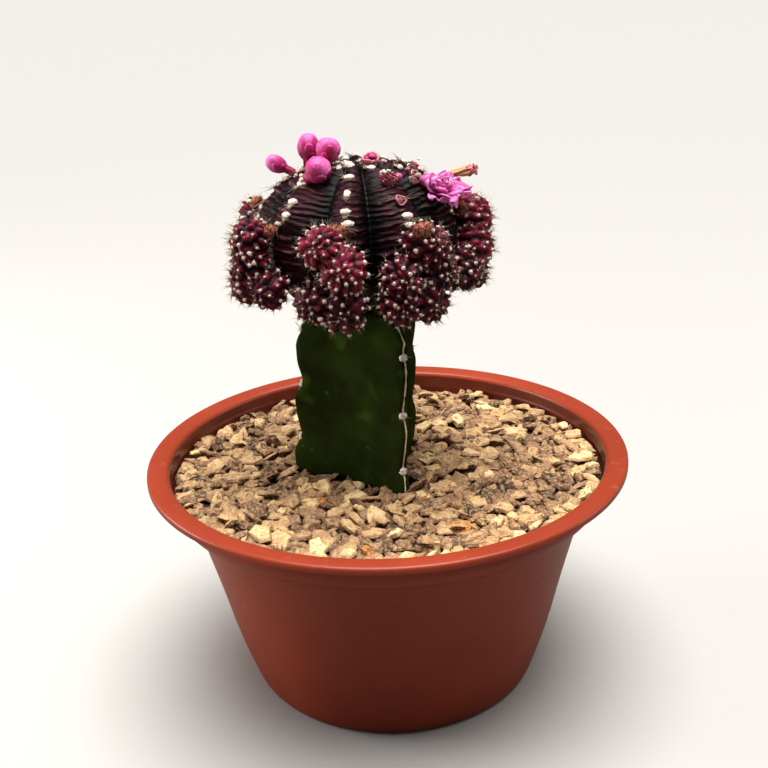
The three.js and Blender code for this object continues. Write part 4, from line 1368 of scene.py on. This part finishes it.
def budFinish(name, low, middle, high):
    f = Finish(name, 0.54, Subsurface_Weight=petalGlow["weight"], Specular_IOR_Level=0.36)
    f.shader.inputs["Subsurface Radius"].default_value = petalGlow["radius"]
    f.shader.inputs["Subsurface Scale"].default_value = petalGlow["scale"]
    body = f.ramp(f.tone(), [(0.0, low), (0.5, middle), (1.0, high)])
    body = f.cover(body, f.mottle(420.0, 0.35, 0.7), 0.35, low)
    f.colour(f.cover(body, f.mottle(1500.0, 0.5, 0.7), 0.25, high))
    f.grain(700.0, 2400.0, 0.35, 0.15, 0.5)
    return f.material


magenta = budFinish("magentaScales", (160, 24, 62), (220, 50, 142), (240, 128, 204))
rose = budFinish("roseScales", (96, 16, 38), (182, 74, 100), (228, 176, 176))
petalPink = budFinish("petalPink", (176, 34, 104), (216, 78, 168), (240, 160, 220))
peach = budFinish("witheredPetals", (176, 132, 70), (222, 176, 116), (222, 112, 124))


class Bloom:
    # A bloom's own axes, from where it stands on the crest
    def __init__(self, name):
        self.name = name
        rib, polar, lean, self.radius, self.length, self.stalk, self.head = blooms[name]
        self.root = headAt + scionPoint(rib, polar)
        self.lean = unit(lean)
        self.side, self.other = sidesOf(self.lean)

    def at(self, x, y, z):
        return (self.root + np.multiply.outer(x, self.side) + np.multiply.outer(y, self.other)
                + np.multiply.outer(z, self.lean))

    def ring(self, reach, height, count, squash=1.0):
        turn = onceRound(count)
        return self.at(np.cos(turn) * reach, np.sin(turn) * reach * squash, np.full(count, height))

    def reach(self, share):
        # Radius of the bud's body at a share of its length: a globe on a stalk
        middle = 1 - self.head / 2
        away = np.abs(np.asarray(share, float) - middle) / (self.head / 2)
        globe = self.radius * np.sqrt(np.clip(1 - away**2.1, 0, 1))
        stalk = np.where(np.asarray(share) < middle, self.stalk, 0)
        return (globe**4 + stalk**4) ** 0.25


budSides = 28


def addBudBody(heap, bloom):
    share = np.concatenate([[-0.12], np.sin(np.linspace(0, lastRing, 26) * math.pi / 2)])
    reach = np.where(share < 0, bloom.stalk, bloom.reach(share))
    rings = [bloom.ring(r, s * bloom.length, budSides) for s, r in zip(share, reach)]
    points, faces = ringSkin(rings, bloom.at(0, 0, -0.15 * bloom.length), bloom.at(0, 0, bloom.length))
    tones = np.repeat(np.clip(share * 1.2 - 0.2, 0, 0.85), budSides)
    heap.add(points, faces, np.concatenate([tones, [0, 0.85]]))


scaleSheet = {"rows": 11, "columns": 9, "thickness": 0.08, "clear": 0.02, "toneJitter": (-0.3, 0.14)}


# Scale that hugs the bud from one share of its length to another, with a free rounded tip
def addScale(heap, bloom, turn, low, high, wide, lift, rng):
    rows, columns = scaleSheet["rows"], scaleSheet["columns"]
    t = np.linspace(0, 1, rows)
    u = np.linspace(-1, 1, columns)
    breadth = np.sqrt(np.clip(1 - (np.clip(t - 0.45, 0, 1) / 0.56) ** 2.2, 0.02, 1))
    breadth = breadth * (0.7 + 0.3 * np.sin(t * 3))
    share = low + (high - low) * t
    grid = np.zeros((rows, columns, 3))
    tones = np.zeros((rows, columns))
    for i in range(rows):
        reach = float(bloom.reach(min(share[i], 0.96))) + scaleSheet["clear"] + lift * t[i] ** 2.5
        reach = reach * (1 - 0.05 * u**2)
        angle = turn + u * wide * breadth[i]
        rise = share[i] * bloom.length + 0.12 * u**2 * t[i]
        grid[i] = bloom.at(np.cos(angle) * reach, np.sin(angle) * reach, rise)
        tones[i] = 0.02 + 0.62 * share[i] ** 1.3 + 0.34 * np.abs(u) ** 3 + 0.2 * t[i] ** 6
    points, faces = sheetSkin(grid, scaleSheet["thickness"])
    tones = np.clip(tones.ravel() + rng.uniform(*scaleSheet["toneJitter"]), 0, 1)
    heap.add(points, faces, np.tile(tones, 2))


collar = {"tufts": 7, "step": 0.9, "jitter": 0.2, "up": 0.1, "rise": 0.8, "hairs": 8}


# Closes a bloom: wool round its foot, then the piece that stands for its node
def finishBloom(heap, rng, bloom, materials, slot, wide=0.5):
    for k in range(collar["tufts"]):
        turn = k * collar["step"] + rng.uniform(-collar["jitter"], collar["jitter"])
        root = bloom.at(math.cos(turn) * bloom.stalk, math.sin(turn) * bloom.stalk, collar["up"])
        way = unit(bloom.at(math.cos(turn), math.sin(turn), collar["rise"]) - bloom.root)
        addWool(heap, rng, root, way, wide, wide * 0.8, collar["hairs"], 1, (4, 8))
    place(heap.build(f"fine_{bloom.name}", materials), slot, [bloom.name])


def makeBud(name, whorls):
    rng = np.random.default_rng(sum(map(ord, name)))
    bloom = Bloom(name)
    heap = Heap()
    addBudBody(heap, bloom)
    for count, low, high, wide, lift in whorls:
        start = rng.uniform(0, fullTurn)
        for k in range(count):
            turn = start + k * 2 * math.pi / count
            addScale(heap, bloom, turn, low, high, wide, lift * rng.uniform(0.5, 1.4), rng)
    finishBloom(heap, rng, bloom, [magenta, wool], "magenta_buds", 0.55)


# Scales of a bud, as count, where they start and end, half width and lift of the tip
budWhorls = [(4, 0.14, 0.5, 0.5, 0.12), (5, 0.26, 0.76, 0.6, 0.13), (4, 0.46, 0.95, 0.62, 0.1)]
for number in range(1, 6):
    makeBud(f"flower_bud_{number}", budWhorls)


loopSteps = 24
tubeSteps = 8


# Small torn loop of tissue about a direction, with a waved rim
def addLoop(heap, rng, at, out, reach, thick, slot=0, tones=(0.6, 1.0)):
    out = unit(out)
    turn = onceRound(loopSteps)
    tube = onceRound(tubeSteps)
    wave = 1 + 0.06 * np.sin(turn * 2 + rng.uniform(0, 6)) + 0.04 * np.sin(turn * 5 + rng.uniform(0, 6))
    wave += 0.05 * rng.standard_normal(loopSteps)
    lift = 0.22 * reach * np.sin(turn * 2 + rng.uniform(0, 6)) + 0.05 * rng.standard_normal(loopSteps)
    radial = outAround(turn, *sidesOf(out))
    middles = at + radial * (reach * wave)[:, None] + np.outer(lift, out)
    ringRound = np.cos(tube)[None, :, None] * radial[:, None] + np.sin(tube)[None, :, None] * out
    points = middles[:, None] + thick * ringRound
    row, column = np.meshgrid(np.arange(loopSteps), np.arange(tubeSteps), indexing="ij")
    ahead, over = (row + 1) % loopSteps * tubeSteps, (column + 1) % tubeSteps
    here = row * tubeSteps
    faces = np.stack([here + column, ahead + column, ahead + over, here + over], -1).reshape(-1, 4)
    heap.add(points, [faces], np.tile(np.linspace(*tones, tubeSteps), loopSteps), slot)


# Low mound from rings of a radius and a height, closed by a point at the top
def addMound(heap, bloom, rings, top, tones, ends, sides, squash=1.0):
    loops = [bloom.ring(radius, height, sides, squash) for radius, height in rings]
    points, faces = ringSkin(loops, bloom.at(0, 0, rings[0][1]), bloom.at(0, 0, top))
    heap.add(points, faces, np.concatenate([np.repeat(tones, sides), ends]))


# Bunch of young loops over a low mound, with one round bud at its side
def makeTuftBud(name, loops, ball):
    rng = np.random.default_rng(sum(map(ord, name)))
    bloom = Bloom(name)
    heap = Heap()
    mound = ((1.3, -0.8), (1.7, 0.3), (1.5, 0.9), (0.9, 1.35))
    addMound(heap, bloom, mound, 1.5, (0.0, 0.1, 0.2, 0.1), (0, 0.1), 20, 0.9)
    for x, y, z, slot in loops:
        at = bloom.at(x, y, z - 0.4)
        way = at - bloom.at(0, 0, 0) + rng.standard_normal(3) * 0.9
        addLoop(heap, rng, at, way, rng.uniform(0.3, 0.62), rng.uniform(0.13, 0.24), slot,
                (rng.uniform(0.1, 0.7), rng.uniform(0.6, 1.0)))
        addWool(heap, rng, at + rng.normal(0, 0.5, 3), way, rng.uniform(0.2, 0.4), rng.uniform(0.2, 0.5), 4,
                int(rng.integers(0, 2)), (5, 9), rng.uniform(1, 2), (0.2, 1.0), 0.4)
    if ball:
        middle = bloom.at(*ball)
        addWool(heap, rng, middle, bloom.lean, 0.85, 0.8, 0, 2, (8, 14), tones=(0.4, 0.7))
    finishBloom(heap, rng, bloom, [rose, wool, magenta], "rose_buds")


# Scar where a flower dropped: a pale ragged ring round a dark rose middle
def addScar(heap, rng, at, out, reach):
    out = unit(out)
    addLoop(heap, rng, at, out, reach, reach * 0.16)
    addLoop(heap, rng, at - out * reach * 0.22, out, reach * 0.95, reach * 0.14, 0, (0.3, 0.8))
    radial = outAround(onceRound(20), *sidesOf(out))
    cup = ((0.7, -1.2), (0.95, -0.3), (0.6, -0.12), (0.3, 0.0))
    rings = [at + out * rise + radial * reach * wide for wide, rise in cup]
    points, faces = ringSkin(rings, at - out * 1.2, at + out * 0.05)
    heap.add(points, faces, np.concatenate([np.repeat([0.1, 0.3, 0.05, 0.0], 20), [0, 0.1]]))


def makeRingBud(name):
    rng = np.random.default_rng(8)
    bloom = Bloom(name)
    heap = Heap()
    rim = bloom.at(0, 0, 1.5)
    addScar(heap, rng, rim, (0, -0.3, 0.9), 1.85)
    addWool(heap, rng, rim + [0.5, 0.3, 0.2], (0.2, 0, 1), 0.85, 0.75, 0, 2, (8, 14), 1.2, (0.3, 0.6))
    addWool(heap, rng, rim + [-0.6, 0.1, -0.1], (0, 0, 1), 0.6, 0.5, 0, 2, (6, 12), 1.2, (0.2, 0.5))
    cup = ((1.2, -0.8), (1.35, 0.2), (1.75, 1.0), (1.5, 1.25))
    addMound(heap, bloom, cup, 1.25, (0.1, 0.2, 0.5, 0.1), (0.1, 0.0), 24)
    finishBloom(heap, rng, bloom, [rose, wool, magenta], "rose_buds")


scarSpines = {"count": 7, "rightward": 4, "length": (4.0, 6.0), "radius": 0.1, "sag": (0, 0, -0.05)}


def makeFlowerScar(rib, polar):
    rng = np.random.default_rng(15)
    out = scionOut(rib, polar)
    side, up = sidesOf(out)
    root = headAt + scionPoint(rib, polar, scion["chin"] * 0.4)
    heap = Heap()
    addScar(heap, rng, root + out * 0.3, out, 1.15)
    for k in range(scarSpines["count"]):
        way = side * rng.uniform(0.6, 1.2) + up * rng.uniform(-0.6, 0.5) + out * rng.uniform(0.4, 0.8)
        if k >= scarSpines["rightward"]:
            way = way * [-1, 1, 1]
        length = rng.uniform(*scarSpines["length"])
        addSpine(heap, root, way, length, scarSpines["radius"], scarSpines["sag"], 6, 4, 1)
    place(heap.build("flower_scar", [rose, horn]), "rose_buds")


makeRingBud("young_bud_1")
# Loops as sideways, across, height and which finish they have
makeTuftBud("young_bud_2", [
    (-1.9, 0.2, 1.5, 0), (-1.1, 0.7, 2.1, 0), (-1.0, -0.5, 1.8, 0), (-0.1, 0.9, 2.3, 0),
    (-0.1, -0.2, 2.3, 0), (0.8, 0.5, 2.2, 0), (0.7, -0.7, 1.9, 0), (1.4, 0.0, 1.8, 0), (-0.6, 0.1, 2.4, 0),
], (2.2, 0.3, 1.0))
makeTuftBud("young_bud_3", [
    (-1.9, 0.6, 1.2, 1), (-1.2, 0.1, 2.0, 0), (-0.5, 0.9, 2.3, 0), (0.0, -0.3, 2.3, 1), (0.8, 0.6, 2.2, 0),
    (1.2, -0.4, 1.7, 0), (1.9, 0.3, 1.4, 1), (-0.7, -0.8, 1.5, 1), (2.4, -0.3, 1.0, 0),
    (2.9, 0.4, 0.9, 0), (3.4, -0.2, 0.7, 1), (3.9, 0.3, 0.4, 0),
], None)
makeFlowerScar(1.0, 51.5)


petal = {
    "rows": 15, "columns": 11, "thickness": 0.26, "startsAt": 0.7, "openness": (-0.42, 0.3),
    "ripple": 0.95, "ruffle": 0.3, "cup": 0.35, "rightward": 0.25, "narrowest": 0.3,
    "turnJitter": 0.3, "lengths": (0.85, 1.08),
}


# Petal from the flower's middle: opens outward along an arc, with a waved rim
def addPetal(heap, rng, bloom, turn, p):
    rows, columns = petal["rows"], petal["columns"]
    out, up = petal["startsAt"], p["from"]
    grid = np.zeros((rows, columns, 3))
    tones = np.zeros((rows, columns))
    u = np.linspace(-1, 1, columns)
    rightward = math.cos(turn) * bloom.side[0] + math.sin(turn) * bloom.other[0]
    length = p["length"] * rng.uniform(*petal["lengths"]) * (1 + petal["rightward"] * rightward)
    opening = p["open"] + rng.uniform(*petal["openness"])
    wave = rng.uniform(0, fullTurn)
    for i in range(rows):
        t = i / (rows - 1)
        angle = opening + p["curl"] * t + 0.25 * math.sin(t * 5 + wave)
        half = max(p["width"] / 2 * math.sin(math.pi * (0.1 + 0.84 * t**1.25)) ** 0.6, petal["narrowest"])
        ripple = petal["ripple"] * t * np.sin(u * 4.6 + wave + t * 3) * np.abs(u)
        ripple = ripple + petal["ruffle"] * t * np.sin(t * 8 + wave) * u
        cup = petal["cup"] * u**2 * (1 - 0.4 * t)
        sideways = u * half
        outward = out - math.cos(angle) * (cup + ripple)
        upward = up + math.sin(angle) * (cup + ripple)
        x = math.cos(turn) * outward - math.sin(turn) * sideways
        y = math.sin(turn) * outward + math.cos(turn) * sideways
        grid[i] = bloom.at(x, y, upward)
        tones[i] = 0.2 + 0.55 * t + 0.3 * np.abs(u) ** 2.5 - 0.2 * np.exp(-(u * 4) ** 2)
        out += math.sin(angle) * length / (rows - 1)
        up += math.cos(angle) * length / (rows - 1)
    points, faces = sheetSkin(grid, petal["thickness"])
    heap.add(points, faces, np.tile(np.clip(tones, 0, 1).ravel(), 2))


flowerWhorls = [
    {"count": 7, "from": 0.4, "length": 6.0, "width": 4.9, "open": 1.15, "curl": 0.4},
    {"count": 6, "from": 0.8, "length": 5.2, "width": 4.3, "open": 0.85, "curl": 0.6},
    {"count": 5, "from": 1.2, "length": 3.8, "width": 3.4, "open": 0.4, "curl": 0.7},
    {"count": 5, "from": 1.5, "length": 3.0, "width": 2.6, "open": 0.05, "curl": 0.8},
]
stamens = {"count": 14, "ring": 0.4, "from": 2.2, "length": (1.4, 2.4), "radius": 0.12}


def makeFlower(name, whorls, s):
    rng = np.random.default_rng(12)
    bloom = Bloom(name)
    heap = Heap()
    addBudBody(heap, bloom)
    for p in whorls:
        start = rng.uniform(0, fullTurn)
        for k in range(p["count"]):
            jitter = rng.uniform(-petal["turnJitter"], petal["turnJitter"])
            turn = start + k * 2 * math.pi / p["count"] + jitter
            addPetal(heap, rng, bloom, turn, p)
    for _ in range(s["count"]):
        turn = rng.uniform(0, fullTurn)
        root = bloom.at(s["ring"] * math.cos(turn), s["ring"] * math.sin(turn), s["from"])
        way = bloom.lean + rng.standard_normal(3) * 0.25
        addNeedle(heap, root, way, rng.uniform(*s["length"]), s["radius"], 1)
    finishBloom(heap, rng, bloom, [petalPink, wool], "magenta_petals")


makeFlower("flower", flowerWhorls, stamens)


spent = {
    "sides": 40, "rings": 34, "shares": (-0.08, 0.98), "squash": 0.8,
    "profile": ([-0.08, 0.1, 0.35, 0.62, 0.8, 0.92, 0.98], [0.9, 0.7, 0.85, 1.1, 1.35, 1.0, 0.4]),
    "pleats": (0.16, 6, 7), "creases": (0.06, 11, 9),    # depth, count and twist
    "tipLoops": 9,
}


def makeSpentFlower(name, p):
    rng = np.random.default_rng(4)
    bloom = Bloom(name)
    heap = Heap()
    turn = onceRound(p["sides"])
    rings = []
    share = np.linspace(*p["shares"], p["rings"])
    reach = np.interp(share, *p["profile"])
    pleats, pleatCount, pleatTwist = p["pleats"]
    creases, creaseCount, creaseTwist = p["creases"]
    for s, r in zip(share, reach):
        pleat = 1 + pleats * np.sin(turn * pleatCount + s * pleatTwist) * min(max(s * 2, 0), 1)
        pleat = pleat + creases * np.sin(turn * creaseCount - s * creaseTwist)
        rings.append(bloom.ring(r * pleat, s * bloom.length, p["sides"], p["squash"]))
    ends = [bloom.at(0, 0, end * bloom.length) for end in (p["shares"][0], 1)]
    points, faces = ringSkin(rings, *ends)
    streaks = 0.22 * np.sin(turn * 5)[None, :] * share[:, None]
    tones = np.clip(0.3 + 0.9 * np.clip(share[:, None] - 0.55, 0, 1) * 2 + streaks, 0, 1)
    heap.add(points, faces, np.concatenate([tones.ravel(), [0, 1]]))
    for k in range(p["tipLoops"]):
        turnBy = k * 2.4
        at = bloom.at(math.cos(turnBy) * 1.0, math.sin(turnBy) * 0.9, bloom.length * (0.8 + 0.024 * k))
        way = at - bloom.at(0, 0, bloom.length * 0.75)
        wide = rng.uniform(0.35, 0.6)
        thick = rng.uniform(0.16, 0.24)
        addLoop(heap, rng, at, way, wide, thick, 2, (0.3, rng.uniform(0.6, 1)))
    finishBloom(heap, rng, bloom, [peach, wool, rose], "withered_petals")


makeSpentFlower("spent_flower", spent)
print("buds and flowers made")


total = sum(sum(len(p.vertices) - 2 for p in o.data.polygons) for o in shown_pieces() if o.type == "MESH")
print("triangles shown:", total)
